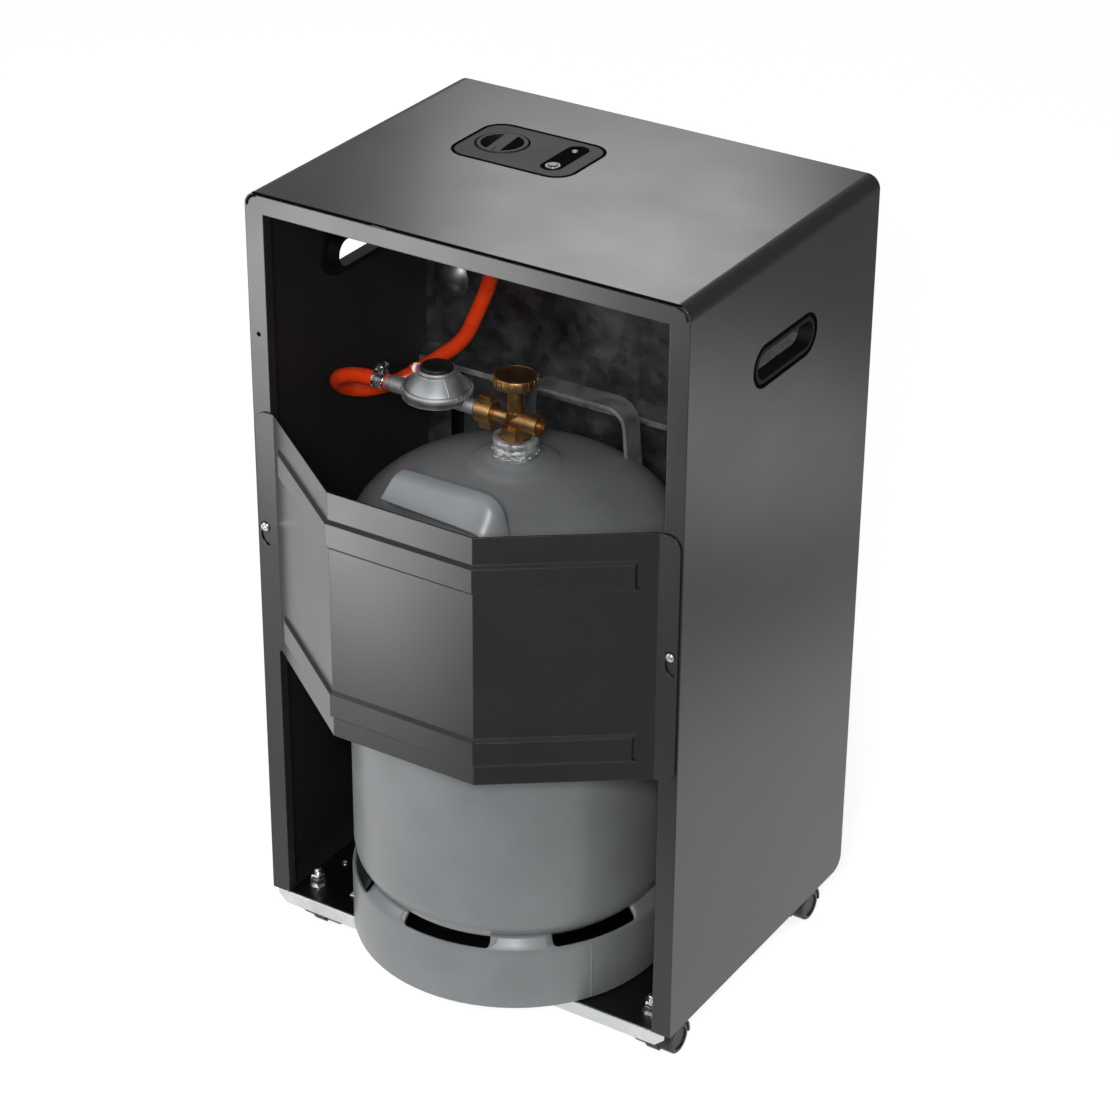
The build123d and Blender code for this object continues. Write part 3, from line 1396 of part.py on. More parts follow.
def make_hose_clamp(name, plane):
    """Worm-drive clamp: a band round the hose end and its screw housing."""
    band = hose_radius + clamp_wall
    housing = plane.offset(clamp_housing_inset)
    housing_length = clamp_width - 2 * clamp_housing_inset
    screw_start = (housing.origin + housing.z_dir * housing_length / 2
                   + housing.y_dir * (band + clamp_screw_rise)
                   - housing.x_dir * clamp_screw_length / 2)
    with BuildPart() as clamp:
        with BuildSketch(plane):
            Circle(band)
            Circle(hose_radius, mode=Mode.SUBTRACT)
        extrude(amount=clamp_width)
        with BuildSketch(housing):
            with Locations((0, band + clamp_housing_height / 2 - clamp_wall / 3)):
                Rectangle(clamp_housing_width, clamp_housing_height)
        extrude(amount=housing_length)
        with BuildSketch(Plane(origin=screw_start, x_dir=housing.z_dir, z_dir=housing.x_dir)):
            Circle(clamp_screw_radius)
        extrude(amount=clamp_screw_length)
    save(clamp, name)


def make_gas_hose():
    """Rubber gas hose from the regulator to the tap: straight runs joined by tangent arcs."""
    points = [Vector(*point) for point in hose_route]
    radii = []
    for before, corner, after in zip(points, points[1:], points[2:]):
        run_in = corner - before
        run_out = after - corner
        turn = radians(run_in.get_angle(run_out))
        radii.append(0.45 * min(run_in.length, run_out.length) / tan(turn / 2))
    print("hose bend radii, mm:", [round(radius, 1) for radius in radii])
    with BuildPart() as hose:
        with BuildLine() as route:
            FilletPolyline(*points, radius=radii)
        start = Plane(origin=points[0], z_dir=points[1] - points[0])
        with BuildSketch(start):
            Circle(hose_radius)
        sweep()
    length = route.wires()[0].length
    print("hose length, mm:", round(length, 1))
    print("hose volume over section times length:",
          round(hose.part.volume / (pi * hose_radius ** 2 * length), 4))
    save(hose, "gas_hose")


# ==================================================================== heat shield and burner
def stem_clearance_cut():
    """Room round the front stems and their nuts, cut from the part being built."""
    with BuildSketch(Plane.XY.offset(floor_gap)) as room:
        with Locations((caster_x, front_y + caster_front_setback),
                       (-caster_x, front_y + caster_front_setback)):
            Circle(washer_radius + stem_clearance)
    extrude(room.sketch, amount=stem_reach + 2 * stem_clearance, mode=Mode.SUBTRACT)


def make_heat_shield():
    """Galvanised wall between bottle and burner, with a sloping ledge and two posts below."""
    front = shield_y - shield_sheet
    ledge_y = shield_y + ledge_reach
    ledge_slant = shield_sheet * ledge_drop / ledge_reach
    with BuildPart() as shield:
        with BuildSketch(side_plane(-inside_x)):
            with BuildLine():
                Polyline((shield_y, shield_top), (shield_y, shield_bottom + ledge_drop),
                         (ledge_y, shield_bottom), (ledge_y, shield_bottom - ledge_lip),
                         (ledge_y - shield_sheet, shield_bottom - ledge_lip),
                         (ledge_y - shield_sheet, shield_bottom - ledge_slant),
                         (front, shield_bottom + ledge_drop - ledge_slant), (front, shield_top),
                         close=True)
            make_face()
        extrude(amount=2 * inside_x)
        fillet(shield.edges().filter_by(Axis.Y).group_by(Axis.Z)[-1], top_bend)
        for side in (-1, 1):
            with Locations((side * (inside_x - post_width / 2), shield_y - shield_sheet / 2,
                            (floor_gap + sheet + shield_bottom + ledge_drop) / 2)):
                Box(post_width, shield_sheet,
                    shield_bottom + ledge_drop - floor_gap - sheet)
        # the posts' feet stand clear of the stems and their nuts
        stem_clearance_cut()
        # hole that the burner's feed pipe passes through
        with BuildSketch(wall_plane(shield_y)):
            with Locations((knob_x, feed_z)):
                Circle(feed_radius + feed_hole_play)
        extrude(amount=shield_sheet, mode=Mode.SUBTRACT)
    save(shield, "heat_shield")


def make_lower_partition():
    """Plain sheet behind the posts, between the bottle and the lower front."""
    half = inside_x - post_width - partition_gap
    y = shield_y - partition_setback
    with BuildPart() as partition:
        with Locations((0, y, (floor_gap + shield_bottom) / 2)):
            Box(2 * half, shield_sheet, shield_bottom - floor_gap)
        for z in (floor_gap + shield_sheet / 2, shield_bottom - shield_sheet / 2):
            with Locations((0, y + partition_setback / 2 - shield_sheet / 2, z)):
                Box(2 * half, partition_setback - shield_sheet, shield_sheet)
        stem_clearance_cut()
    save(partition, "lower_partition")


def make_shield_dome():
    """Pressed round cover on the heat shield."""
    with BuildPart() as dome:
        ball = (shield_dome_radius ** 2 + shield_dome_rise ** 2) / (2 * shield_dome_rise)
        waist = shield_dome_radius / 2
        with BuildSketch(Plane(origin=(dome_x, shield_y, dome_z), x_dir=(1, 0, 0),
                               z_dir=(0, 0, 1))):
            with BuildLine():
                waist_rise = shield_dome_rise - ball + (ball ** 2 - waist ** 2) ** 0.5
                ThreePointArc((shield_dome_radius, 0), (waist, waist_rise), (0, shield_dome_rise))
                Polyline((0, shield_dome_rise), (0, 0), (shield_dome_radius, 0))
            make_face()
        revolve(axis=Axis((dome_x, shield_y, dome_z), (0, 1, 0)))
    save(dome, "shield_dome")


def flared_sections(y_back, y_front, shrink):
    """Two rounded outlines of the reflector tray, at its back and at its wider mouth."""
    sections = []
    for y, grow in ((y_back, 0), (y_front, reflector_flare)):
        with BuildSketch(wall_plane(y)) as section:
            with Locations((0, burner_middle_z)):
                RectangleRounded(3 * tile_pitch + reflector_margin + 2 * grow - 2 * shrink,
                                 tile_height + 2 * reflector_margin + 2 * grow - 2 * shrink,
                                 reflector_corner - shrink)
        sections.append(section.sketch.face())
    return sections


def make_reflector():
    """Polished tray round the tiles: a back plate with three windows and flared walls."""
    back_y = plenum_front_y - reflector_seat
    wall = reflector_sheet
    mouth_grow = reflector_margin + 2 * reflector_flare - 2 * wall
    with BuildPart() as reflector:
        loft(flared_sections(back_y, mouth_y, 0))
        loft(flared_sections(back_y - wall, mouth_y - wall, wall), mode=Mode.SUBTRACT)
        # flange behind the front panel
        with BuildSketch(wall_plane(mouth_y + wall)):
            with Locations((0, burner_middle_z)):
                RectangleRounded(burner_opening_width + 2 * reflector_flange_side,
                                 burner_opening_height + 2 * reflector_flange_top, burner_corner)
                RectangleRounded(3 * tile_pitch + mouth_grow,
                                 tile_height + reflector_margin + mouth_grow,
                                 reflector_corner, mode=Mode.SUBTRACT)
        extrude(amount=wall)
        with BuildSketch(wall_plane(back_y)):
            with Locations(*burner_places):
                Rectangle(tile_width, tile_height)
        extrude(amount=wall, mode=Mode.SUBTRACT)
    save(reflector, "reflector")


def make_burners():
    """Three infrared burners: perforated ceramic tiles, and pressed plenums with their throats."""
    with BuildPart() as tiles:
        with BuildSketch(wall_plane(plenum_front_y)):
            with Locations(*burner_places):
                Rectangle(tile_width, tile_height)
        extrude(amount=tile_thickness)
        # the face's honeycomb, coarser than the real one
        with BuildSketch(wall_plane(tile_y + tile_pit_depth)):
            with Locations(*burner_places):
                with GridLocations(tile_width / tile_pits_across, tile_height / tile_pits_up,
                                   tile_pits_across, tile_pits_up):
                    RegularPolygon(tile_pit_radius, 6)
        extrude(amount=tile_pit_depth, mode=Mode.SUBTRACT)
    save(tiles, "burner_tiles")
    with BuildPart() as plenums:
        with BuildSketch(wall_plane(plenum_rear_y)):
            with Locations(*burner_places):
                RectangleRounded(tile_width, tile_height, plenum_corner)
        extrude(amount=plenum_depth)
        with BuildSketch(Plane.XY.offset(throat_bottom)):
            with Locations(*[(x, rail_y) for x, z in burner_places]):
                Circle(throat_radius)
        extrude(amount=burner_middle_z - throat_bottom)
    save(plenums, "burner_plenums")


def make_manifold():
    """Gas rail under the burners with one injector under each throat."""
    with BuildPart() as rail:
        with BuildSketch(side_plane(-manifold_reach)):
            with Locations((rail_y, manifold_z)):
                Circle(manifold_radius)
        extrude(amount=2 * manifold_reach)
        with BuildSketch(Plane.XY.offset(manifold_z)):
            with Locations(*[(x, rail_y) for x, z in burner_places]):
                RegularPolygon(injector_radius, 6)
        extrude(amount=throat_bottom - manifold_z)
    save(rail, "gas_manifold")


def make_feed_pipe():
    """Aluminium pipe from the tap through the heat shield to the end of the gas rail."""
    pipe_x = 3 * tile_pitch / 2 + feed_overhang
    points = [(knob_x, feed_start_y, feed_z), (knob_x, rail_y, feed_z), (pipe_x, rail_y, feed_z),
              (pipe_x, rail_y, manifold_z), (manifold_reach, rail_y, manifold_z)]
    with BuildPart() as pipe:
        with BuildLine():
            FilletPolyline(*points, radius=feed_bend)
        with BuildSketch(Plane(origin=points[0], z_dir=(0, -1, 0))):
            Circle(feed_radius)
        sweep()
    save(pipe, "feed_pipe")


def pilot_post(bottom, x, radius, height):
    """Round post in front of the tiles."""
    with BuildSketch(Plane.XY.offset(bottom)) as section:
        with Locations((x, tile_y - pilot_standoff)):
            Circle(radius)
    extrude(section.sketch, amount=height)


def make_pilot():
    """Pilot burner on its bracket, with the spark electrode and the flame probe beside it."""
    back_y = plenum_front_y - reflector_seat - reflector_sheet
    shelf_y = tile_y - pilot_standoff - pilot_shelf_lap
    shelf_top = pilot_bracket_low + pilot_sheet
    with BuildPart() as pilot:
        with Locations((0, back_y - pilot_sheet / 2, pilot_bracket_low + pilot_bracket_height / 2)):
            Box(pilot_bracket_width, pilot_sheet, pilot_bracket_height)
        with Locations((0, (back_y + shelf_y) / 2, pilot_bracket_low + pilot_sheet / 2)):
            Box(pilot_bracket_width, back_y - shelf_y, pilot_sheet)
        pilot_post(shelf_top, pilot_x, pilot_radius, pilot_height)
    save(pilot, "pilot_burner")
    with BuildPart() as electrode:
        pilot_post(shelf_top, electrode_x, electrode_radius, electrode_height)
        pilot_post(shelf_top + electrode_height, electrode_x, electrode_wire, electrode_tip)
    save(electrode, "spark_electrode")
    with BuildPart() as probe:
        pilot_post(shelf_top, probe_x, probe_radius, probe_height)
        fillet(probe.faces().sort_by(Axis.Z)[-1].edges(), probe_rounding)
    save(probe, "thermocouple")


def make_front_grille():
    """Wire guard behind the front panel's opening: a bent loop, one rail and upright wires."""
    frame_x = burner_opening_width / 2 + grille_lap_side
    frame_low = burner_opening_bottom - grille_lap_top
    frame_high = burner_opening_bottom + burner_opening_height + grille_lap_top
    with BuildPart() as grille:
        with BuildLine(wall_plane(grille_y)) as loop:
            FilletPolyline((-frame_x, frame_low), (frame_x, frame_low), (frame_x, frame_high),
                           (-frame_x, frame_high), radius=grille_corner, close=True)
        with BuildSketch(Plane(origin=loop.line @ 0, z_dir=loop.line % 0)):
            Circle(grille_frame_wire)
        sweep()
        with BuildSketch(side_plane(-frame_x)):
            with Locations((grille_y, burner_middle_z)):
                Circle(grille_rail_wire)
        extrude(amount=2 * frame_x)
        with BuildSketch(Plane.XY.offset(frame_low)):
            with Locations((0, grille_y)):
                with GridLocations(2 * frame_x / (grille_wires + 1), 0, grille_wires, 1):
                    Circle(grille_wire)
        extrude(amount=frame_high - frame_low)
    save(grille, "front_grille")


# ==================================================================== build everything
os.makedirs("parts", exist_ok=True)

make_cabinet_shell()
make_front_panel()
make_base_tray()
make_hand_hold_trim("hand_hold_trim_left", 1)
make_hand_hold_trim("hand_hold_trim_right", -1)
make_rear_guard()
make_guard_screws()

make_caster_stems()
make_caster_nuts()
for place, (stem_x, stem_y) in caster_places().items():
    make_caster(place, stem_x, stem_y)

make_control_deck()
make_control_plate()
make_button_plate()
make_panel_screw()
make_control_knob()
make_tap_spindle()
make_push_collar()
make_gas_tap()
make_igniter()

bottle_outside = vessel_form(0)
make_gas_bottle(bottle_outside)
make_foot_ring(bottle_outside)
make_neck_ring()
make_carry_handle_rear(bottle_outside)
make_carry_handle_front(bottle_outside)

make_bottle_valve()
make_handwheel()
make_union_nut()
make_regulator_body()
make_regulator_cover()
make_regulator_cap()
make_vent_button()
make_hose_coupling()
make_gas_hose()
make_hose_clamp("hose_clamp_regulator", cross_plane(hose_end_x + clamp_setback))
clamp_foot = (tap_nozzle_x, knob_y, hose_top - clamp_setback - clamp_width)
make_hose_clamp("hose_clamp_tap", Plane(origin=clamp_foot))

make_heat_shield()
make_lower_partition()
make_shield_dome()
make_reflector()
make_burners()
make_manifold()
make_feed_pipe()
make_pilot()
make_front_grille()
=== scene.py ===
"""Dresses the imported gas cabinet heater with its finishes, hose and small details, and sets the stage.

The file is laid out as an add-on.  Run as a script, it builds everything once through its operators.
All lengths are in metres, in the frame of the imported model; MM turns millimetres into metres.
"""

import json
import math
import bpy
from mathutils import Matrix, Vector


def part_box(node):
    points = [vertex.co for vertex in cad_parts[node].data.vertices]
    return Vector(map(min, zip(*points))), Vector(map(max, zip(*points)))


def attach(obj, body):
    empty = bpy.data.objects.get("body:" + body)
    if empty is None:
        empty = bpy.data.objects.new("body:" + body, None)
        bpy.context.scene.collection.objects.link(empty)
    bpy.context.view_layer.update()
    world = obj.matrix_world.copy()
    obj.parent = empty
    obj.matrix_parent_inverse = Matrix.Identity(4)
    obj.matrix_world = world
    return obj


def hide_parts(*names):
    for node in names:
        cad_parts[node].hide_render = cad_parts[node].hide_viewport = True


bl_info = {
    "name": "Cabinet Heater Dressing",
    "version": (1, 1, 0),
    "blender": (4, 5, 0),
    "location": "3D View > Sidebar > Heater",
    "description": "Builds the dressed gas cabinet heater round its packed frame",
    "category": "Object",
}

import bmesh
import bpy
from bpy.props import FloatProperty, IntProperty, PointerProperty
from mathutils import Euler, Matrix, Vector

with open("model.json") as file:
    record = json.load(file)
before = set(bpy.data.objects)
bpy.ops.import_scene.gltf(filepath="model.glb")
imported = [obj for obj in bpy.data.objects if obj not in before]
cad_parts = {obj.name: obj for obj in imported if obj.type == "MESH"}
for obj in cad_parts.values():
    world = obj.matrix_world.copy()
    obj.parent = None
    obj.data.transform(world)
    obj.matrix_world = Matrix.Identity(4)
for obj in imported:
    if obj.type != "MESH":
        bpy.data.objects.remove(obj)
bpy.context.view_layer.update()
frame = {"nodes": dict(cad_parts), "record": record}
MM = 0.001


# ---------------------------------------------------------------- small helpers
def linear(colour):
    """sRGB hex text such as "#5a5b5c" to linear red, green, blue and alpha."""
    channels = [int(colour[i:i + 2], 16) / 255 for i in (1, 3, 5)]
    return tuple(c / 12.92 if c <= 0.04045 else ((c + 0.055) / 1.055) ** 2.4
                 for c in channels) + (1.0,)


def add_node(tree, kind, inputs=None, **settings):
    """Adds a node, sets its settings, and sets or links each named or numbered input."""
    made = tree.nodes.new(kind)
    for name, value in settings.items():
        setattr(made, name, value)
    for socket, value in (inputs or {}).items():
        if isinstance(value, bpy.types.NodeSocket):
            tree.links.new(value, made.inputs[socket])
        else:
            made.inputs[socket].default_value = value
    return made


def math_node(tree, operation, *values):
    """Result of a maths node on numbers or sockets."""
    return add_node(tree, "ShaderNodeMath", dict(enumerate(values)), operation=operation).outputs[0]


def axes_of(tree, place):
    """The X, Y and Z sockets of a vector."""
    return add_node(tree, "ShaderNodeSeparateXYZ", {"Vector": place}).outputs


def start_material(name, **sockets):
    """New material with one Principled shader whose sockets are set; returns it with its parts."""
    material = bpy.data.materials.new(name)
    material.use_nodes = True
    tree = material.node_tree
    tree.nodes.clear()
    shader = add_node(tree, "ShaderNodeBsdfPrincipled",
                      {key.replace("_", " "): value for key, value in sockets.items()})
    add_node(tree, "ShaderNodeOutputMaterial", {"Surface": shader.outputs[0]})
    place = add_node(tree, "ShaderNodeTexCoord").outputs["Object"]
    return material, tree, shader, place


def dress(tree, shader, **sockets):
    """Links each named input of the shader, with _ for a space."""
    for name, value in sockets.items():
        tree.links.new(value, shader.inputs[name.replace("_", " ")])


def noise(tree, place, size, detail=2.0, roughness=0.5):
    """Noise whose grains are about size metres across."""
    return add_node(tree, "ShaderNodeTexNoise",
                    {"Vector": place, "Scale": 1 / size, "Detail": detail,
                     "Roughness": roughness}).outputs["Fac"]


def ramp(tree, factor, low, high, from_low=0.3, from_high=0.7, steps="LINEAR"):
    """Maps a factor between two numbers, held at both ends."""
    return add_node(tree, "ShaderNodeMapRange",
                    {"Value": factor, "From Min": from_low, "From Max": from_high,
                     "To Min": low, "To Max": high}, interpolation_type=steps).outputs["Result"]


def tint(tree, factor, first, second):
    """Mix of two colours by a factor."""
    mixed = add_node(tree, "ShaderNodeMix", {0: factor, 6: first, 7: second}, data_type="RGBA")
    return mixed.outputs[2]


def clouded(tree, cloud, first, second):
    """Colour that drifts between two hex colours with a noise."""
    return tint(tree, ramp(tree, cloud, 0, 1), linear(first), linear(second))


def relief(tree, shader, height, depth, edge=0.0):
    """Bump from a height, over edges that are rounded by the given radius."""
    inputs = {"Height": height, "Distance": depth, "Strength": 1.0}
    if edge:
        inputs["Normal"] = add_node(tree, "ShaderNodeBevel", {"Radius": edge},
                                    samples=4).outputs["Normal"]
    bump = add_node(tree, "ShaderNodeBump", inputs)
    tree.links.new(bump.outputs["Normal"], shader.inputs["Normal"])


# ---------------------------------------------------------------- materials
def masked(tree, tests):
    """1 where every test holds, 0 elsewhere; a test is (value, comparison, limit)."""
    mask = None
    for value, comparison, limit in tests:
        test = math_node(tree, comparison, value, limit)
        mask = test if mask is None else math_node(tree, "MULTIPLY", mask, test)
    return mask


def inside_shade_mask(tree, place):
    """1 on the surfaces that face into the cabinet, 0 on its outside."""
    axes = axes_of(tree, place)
    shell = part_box("cabinet_shell")[1]
    skin = 0.6 * MM
    across = math_node(tree, "ABSOLUTE", axes["X"])
    return masked(tree, [(across, "LESS_THAN", shell.x - skin),
                         (axes["Y"], "LESS_THAN", shell.y - skin),
                         (axes["Z"], "LESS_THAN", shell.z - skin)])


PEEL = 1.5 * MM             # size of the orange peel of real powder coat
SPANGLE = 9 * MM            # size of the zinc flakes on dipped sheet
PLAQUE_PITCH = 1.8 * MM     # distance of the burner plaque's holes


def satin_powder_coat(name, outside, inside=None, rough=(0.22, 0.27), edge=1.1 * MM):
    """Anthracite polyester powder coat on steel: fine orange peel and a soft satin sheen; an inside
    colour is painted shade on the faces turned into the cabinet.
    """
    material, tree, shader, place = start_material(name, IOR=1.5)
    cloud = noise(tree, place, 90 * MM, 3)
    colour = clouded(tree, cloud, *outside)
    sheen = ramp(tree, cloud, *rough)
    if inside:
        # painted shade: the faces turned inwards get a darker colour for the shade inside the cabinet,
        # and a duller sheen
        mask = inside_shade_mask(tree, place)
        colour = tint(tree, mask, colour, linear(inside))
        sheen = add_node(tree, "ShaderNodeMix", {0: mask, 2: sheen, 3: 0.6}).outputs[0]
    dress(tree, shader, Base_Color=colour, Roughness=sheen)
    relief(tree, shader, noise(tree, place, PEEL, 2), 0.006 * MM, edge)
    return material


def bottle_enamel(name, colours, edge=0.6 * MM):
    """Stoved grey enamel on a steel bottle: smooth, with faint clouds and scuffs from handling."""
    material, tree, shader, place = start_material(name, IOR=1.5)
    cloud = noise(tree, place, 45 * MM, 4)
    scuff = noise(tree, place, 4 * MM, 6, 0.7)
    base = clouded(tree, cloud, colours[0], colours[1])
    worn = tint(tree, ramp(tree, scuff, 0, 0.35, 0.62, 0.78), base, linear(colours[2]))
    dress(tree, shader, Base_Color=worn, Roughness=ramp(tree, cloud, 0.30, 0.42))
    relief(tree, shader, noise(tree, place, 3 * MM, 3), 0.03 * MM, edge)
    return material


def galvanised_sheet(name, light, dark, rough=(0.32, 0.5), painted=None):
    """Hot-dip galvanised sheet: zinc spangle in flakes and cloudy dull patches.

    A given height puts gloss black instead of zinc on what lies above it, inside the cabinet.
    """
    material, tree, shader, place = start_material(name)
    flakes = add_node(tree, "ShaderNodeTexVoronoi", {"Vector": place, "Scale": 1 / SPANGLE})
    flake = axes_of(tree, flakes.outputs["Color"])["X"]
    cloud = noise(tree, place, 55 * MM, 5, 0.6)
    mixed = math_node(tree, "ADD", ramp(tree, cloud, 0, 0.7, 0.35, 0.65),
                      ramp(tree, flake, 0, 0.3, 0, 1))
    colour = tint(tree, mixed, linear(dark), linear(light))
    if painted:
        axes = axes_of(tree, place)
        paint = masked(tree, [(axes["Z"], "GREATER_THAN", painted),
                              (axes["Y"], "LESS_THAN", 107 * MM)])
        colour = tint(tree, paint, colour, linear("#060607"))
        dress(tree, shader, Metallic=math_node(tree, "SUBTRACT", 1.0, paint))
    else:
        shader.inputs["Metallic"].default_value = 1.0
    dress(tree, shader, Base_Color=colour, Roughness=ramp(tree, mixed, *rough, 0, 1))
    relief(tree, shader, noise(tree, place, 6 * MM, 2), 0.02 * MM, 0.4 * MM)
    return material


def cast_metal(name, light, dark, rough, grain=1.2 * MM, depth=0.05 * MM, edge=0.5 * MM):
    """Cast or dipped metal: matt grain, with darker and lighter clouds."""
    material, tree, shader, place = start_material(name, Metallic=1.0)
    cloud = noise(tree, place, 14 * MM, 3)
    dress(tree, shader, Base_Color=clouded(tree, cloud, dark, light),
          Roughness=ramp(tree, cloud, *rough))
    relief(tree, shader, noise(tree, place, grain, 3), depth, edge)
    return material


def turned_metal(name, light, dark, rough, edge=0.3 * MM, patch=18 * MM):
    """Turned or drawn metal: fine tool marks about half a millimetre apart along Z."""
    material, tree, shader, place = start_material(name, Metallic=1.0)
    stretched = add_node(tree, "ShaderNodeMapping",
                         {"Vector": place, "Scale": (0.3, 0.3, 3.0)}).outputs[0]
    marks = noise(tree, stretched, 1.5 * MM, 2)
    cloud = noise(tree, place, patch, 3)
    dress(tree, shader, Base_Color=clouded(tree, cloud, dark, light),
          Roughness=ramp(tree, marks, *rough))
    relief(tree, shader, marks, 0.02 * MM, edge)
    return material


def moulded_plastic(name, colour, rough, grain=0.8 * MM, depth=0.02 * MM, edge=0.4 * MM,
                    ior=1.46):
    """Injection-moulded plastic with a fine spark-eroded texture."""
    material, tree, shader, place = start_material(name, Roughness=rough, IOR=ior,
                                                   Base_Color=linear(colour))
    relief(tree, shader, noise(tree, place, grain, 2), depth, edge)
    return material


def hose_rubber(name):
    """Extruded orange-red gas hose: smooth skin with faint clouds and a fine grain."""
    material, tree, shader, place = start_material(name, IOR=1.5)
    cloud = noise(tree, place, 12 * MM, 3)
    dress(tree, shader, Base_Color=clouded(tree, cloud, "#e2360a", "#ee4816"),
          Roughness=ramp(tree, cloud, 0.25, 0.38))
    relief(tree, shader, noise(tree, place, 1 * MM, 2), 0.02 * MM)
    return material


def fired_plaque(name):
    """Cordierite burner plaque: matt, off-white, pierced by fine holes 1.8 mm apart."""
    material, tree, shader, place = start_material(name, Roughness=0.85, IOR=1.5)
    holes = add_node(tree, "ShaderNodeTexVoronoi",
                     {"Vector": place, "Scale": 1 / PLAQUE_PITCH, "Randomness": 0.0})
    # painted shade: the holes are drawn as dark spots in the colour, for the shade inside them
    spot = ramp(tree, holes.outputs["Distance"], 1, 0, 0.18, 0.3)
    dress(tree, shader, Base_Color=tint(tree, spot, linear("#cfc6b4"), linear("#3a352d")))
    relief(tree, shader, holes.outputs["Distance"], 0.3 * MM)
    return material


# Each finish by its slot in the record or its own name: the recipe and what it is given.
RECIPES = {
    # the anthracite coat's last colour is painted shade for its faces inside the cabinet
    "anthracite_paint": (satin_powder_coat, "satin_powder_coat", ("#171718", "#1c1c1d"),
                         "#131314"),
    "plate_paint": (satin_powder_coat, "matt_powder_coat", ("#161617", "#1b1b1c"), None,
                    (0.5, 0.58), 0.6 * MM),
    "bottle_paint": (bottle_enamel, "grey_bottle_enamel", ("#6f7274", "#777a7c", "#8d9092")),
    "handle_paint": (bottle_enamel, "worn_handle_enamel", ("#7e8183", "#888b8e", "#999c9e")),
    "galvanised_sheet": (galvanised_sheet, "galvanised_steel_sheet", "#dadcdd", "#bdbfc1",
                         (0.32, 0.5), 44.4 * MM),
    "shield_sheet": (galvanised_sheet, "dull_aluminised_sheet", "#b9bcbe", "#6f7274"),
    "galvanised_casting": (cast_metal, "hot_dip_zinc", "#d2d4d4", "#96989a", (0.55, 0.75),
                           2.5 * MM, 0.25 * MM),
    "zinc_casting": (cast_metal, "zinc_die_casting", "#c0c2c4", "#a2a4a6", (0.54, 0.66)),
    "brass": (turned_metal, "turned_brass", "#bd9868", "#8a6640", (0.34, 0.5)),
    "tarnished_brass": (turned_metal, "tarnished_brass", "#94704f", "#5b4230", (0.4, 0.55)),
    "plated_steel": (turned_metal, "zinc_plated_steel", "#dcdedf", "#b4b6b8", (0.16, 0.3)),
    "polished_steel": (turned_metal, "polished_stainless", "#d4d4d2", "#c2c2c0", (0.12, 0.2)),
    "satin_steel": (turned_metal, "satin_stainless", "#a2a2a0", "#777775", (0.34, 0.46)),
    "chrome_trim": (turned_metal, "bright_chrome", "#e6e6e6", "#dcdcdc", (0.05, 0.1)),
    "chrome_wire": (turned_metal, "chromed_wire", "#dcdcdc", "#c8c8c8", (0.12, 0.2)),
    "aluminium_pipe": (turned_metal, "drawn_aluminium", "#d6d7d8", "#bfc0c1", (0.25, 0.4)),
    "black_plastic": (moulded_plastic, "black_abs", "#161617", 0.5),
    # seam_black also colours the black strip that stands for the shadow in the seam behind the top
    "seam_black": (moulded_plastic, "matt_black_sealant", "#050505", 0.95, 0.8 * MM, 0.02 * MM,
                   0.3 * MM, 1.12),
    "trim_plastic": (moulded_plastic, "matt_black_abs", "#080808", 0.6, 0.8 * MM, 0.02 * MM,
                     0.4 * MM, 1.3),
    "wheel_plastic": (moulded_plastic, "black_nylon", "#111112", 0.45),
    "black_gloss_plastic": (moulded_plastic, "gloss_black_abs", "#0d0d0e", 0.16, 0.8 * MM, 0.0),
    "hose_rubber": (hose_rubber, "orange_gas_hose"),
    "red_plastic": (moulded_plastic, "red_abs", "#d4181c", 0.3),
    "white_plastic": (moulded_plastic, "white_abs", "#e8e8e6", 0.35),
    "burner_ceramic": (fired_plaque, "fired_ceramic_plaque"),
    "electrode_ceramic": (moulded_plastic, "glazed_ceramic", "#efede6", 0.2),
}
# Nodes whose finish differs from their slot's.
OWN_FINISH = {"control_plate": "plate_paint", "button_plate": "seam_black",
              "panel_screw": "satin_steel", "igniter_body": "satin_steel",
              "igniter_button": "black_gloss_plastic", "shield_dome": "satin_steel",
              "heat_shield": "shield_sheet", "lower_partition": "shield_sheet",
              "hose_coupling": "zinc_casting", "carry_handle_front": "zinc_casting",
              "hand_hold_trim_left": "trim_plastic", "hand_hold_trim_right": "trim_plastic"}
FINISHES = {}


def finish(name):
    """The material of this name, made on first use."""
    if name not in FINISHES:
        recipe, label, *given = RECIPES[name]
        FINISHES[name] = recipe(label, *given)
    return FINISHES[name]


# ---------------------------------------------------------------- shapes
CREASE = math.radians(40)


def turns(steps):
    """Evenly spaced angles round a full turn."""
    return [2 * math.pi * i / steps for i in range(steps)]


def polar(radius, angle, height=0.0):
    """Point in metres from a radius and height in mm and an angle."""
    return Vector((radius * math.cos(angle), radius * math.sin(angle), height)) * MM


def keep(piece, slot, *replaced, body="cabinet"):
    """Rides a finished piece on its body and hides the nodes that it replaces; its slot is not used."""
    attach(piece, body)
    if replaced:
        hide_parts(*replaced)
    return piece


def new_piece(name, mesh, material, smooth=True):
    """Links a mesh as a new object with its material."""
    piece = bpy.data.objects.new(name, mesh)
    bpy.context.scene.collection.objects.link(piece)
    mesh.materials.clear()
    mesh.materials.append(material)
    for polygon in mesh.polygons:
        polygon.use_smooth = smooth
    return piece


def finished(name, form, material, outward=True):
    """Turns built faces into a piece: merged, facing outwards, with creases kept sharp."""
    bmesh.ops.remove_doubles(form, verts=form.verts, dist=1e-6)
    if outward:
        bmesh.ops.recalc_face_normals(form, faces=form.faces)
    mesh = bpy.data.meshes.new(name)
    form.to_mesh(mesh)
    form.free()
    piece = new_piece(name, mesh, material)
    mesh.set_sharp_from_angle(angle=CREASE)
    return piece


def seat(name, form, slot, *replaced, body="cabinet", look=None):
    """Turns a form into a kept piece, in its slot's finish unless it has a look of its own."""
    return keep(finished(name, form, finish(look or slot)), slot, *replaced, body=body)


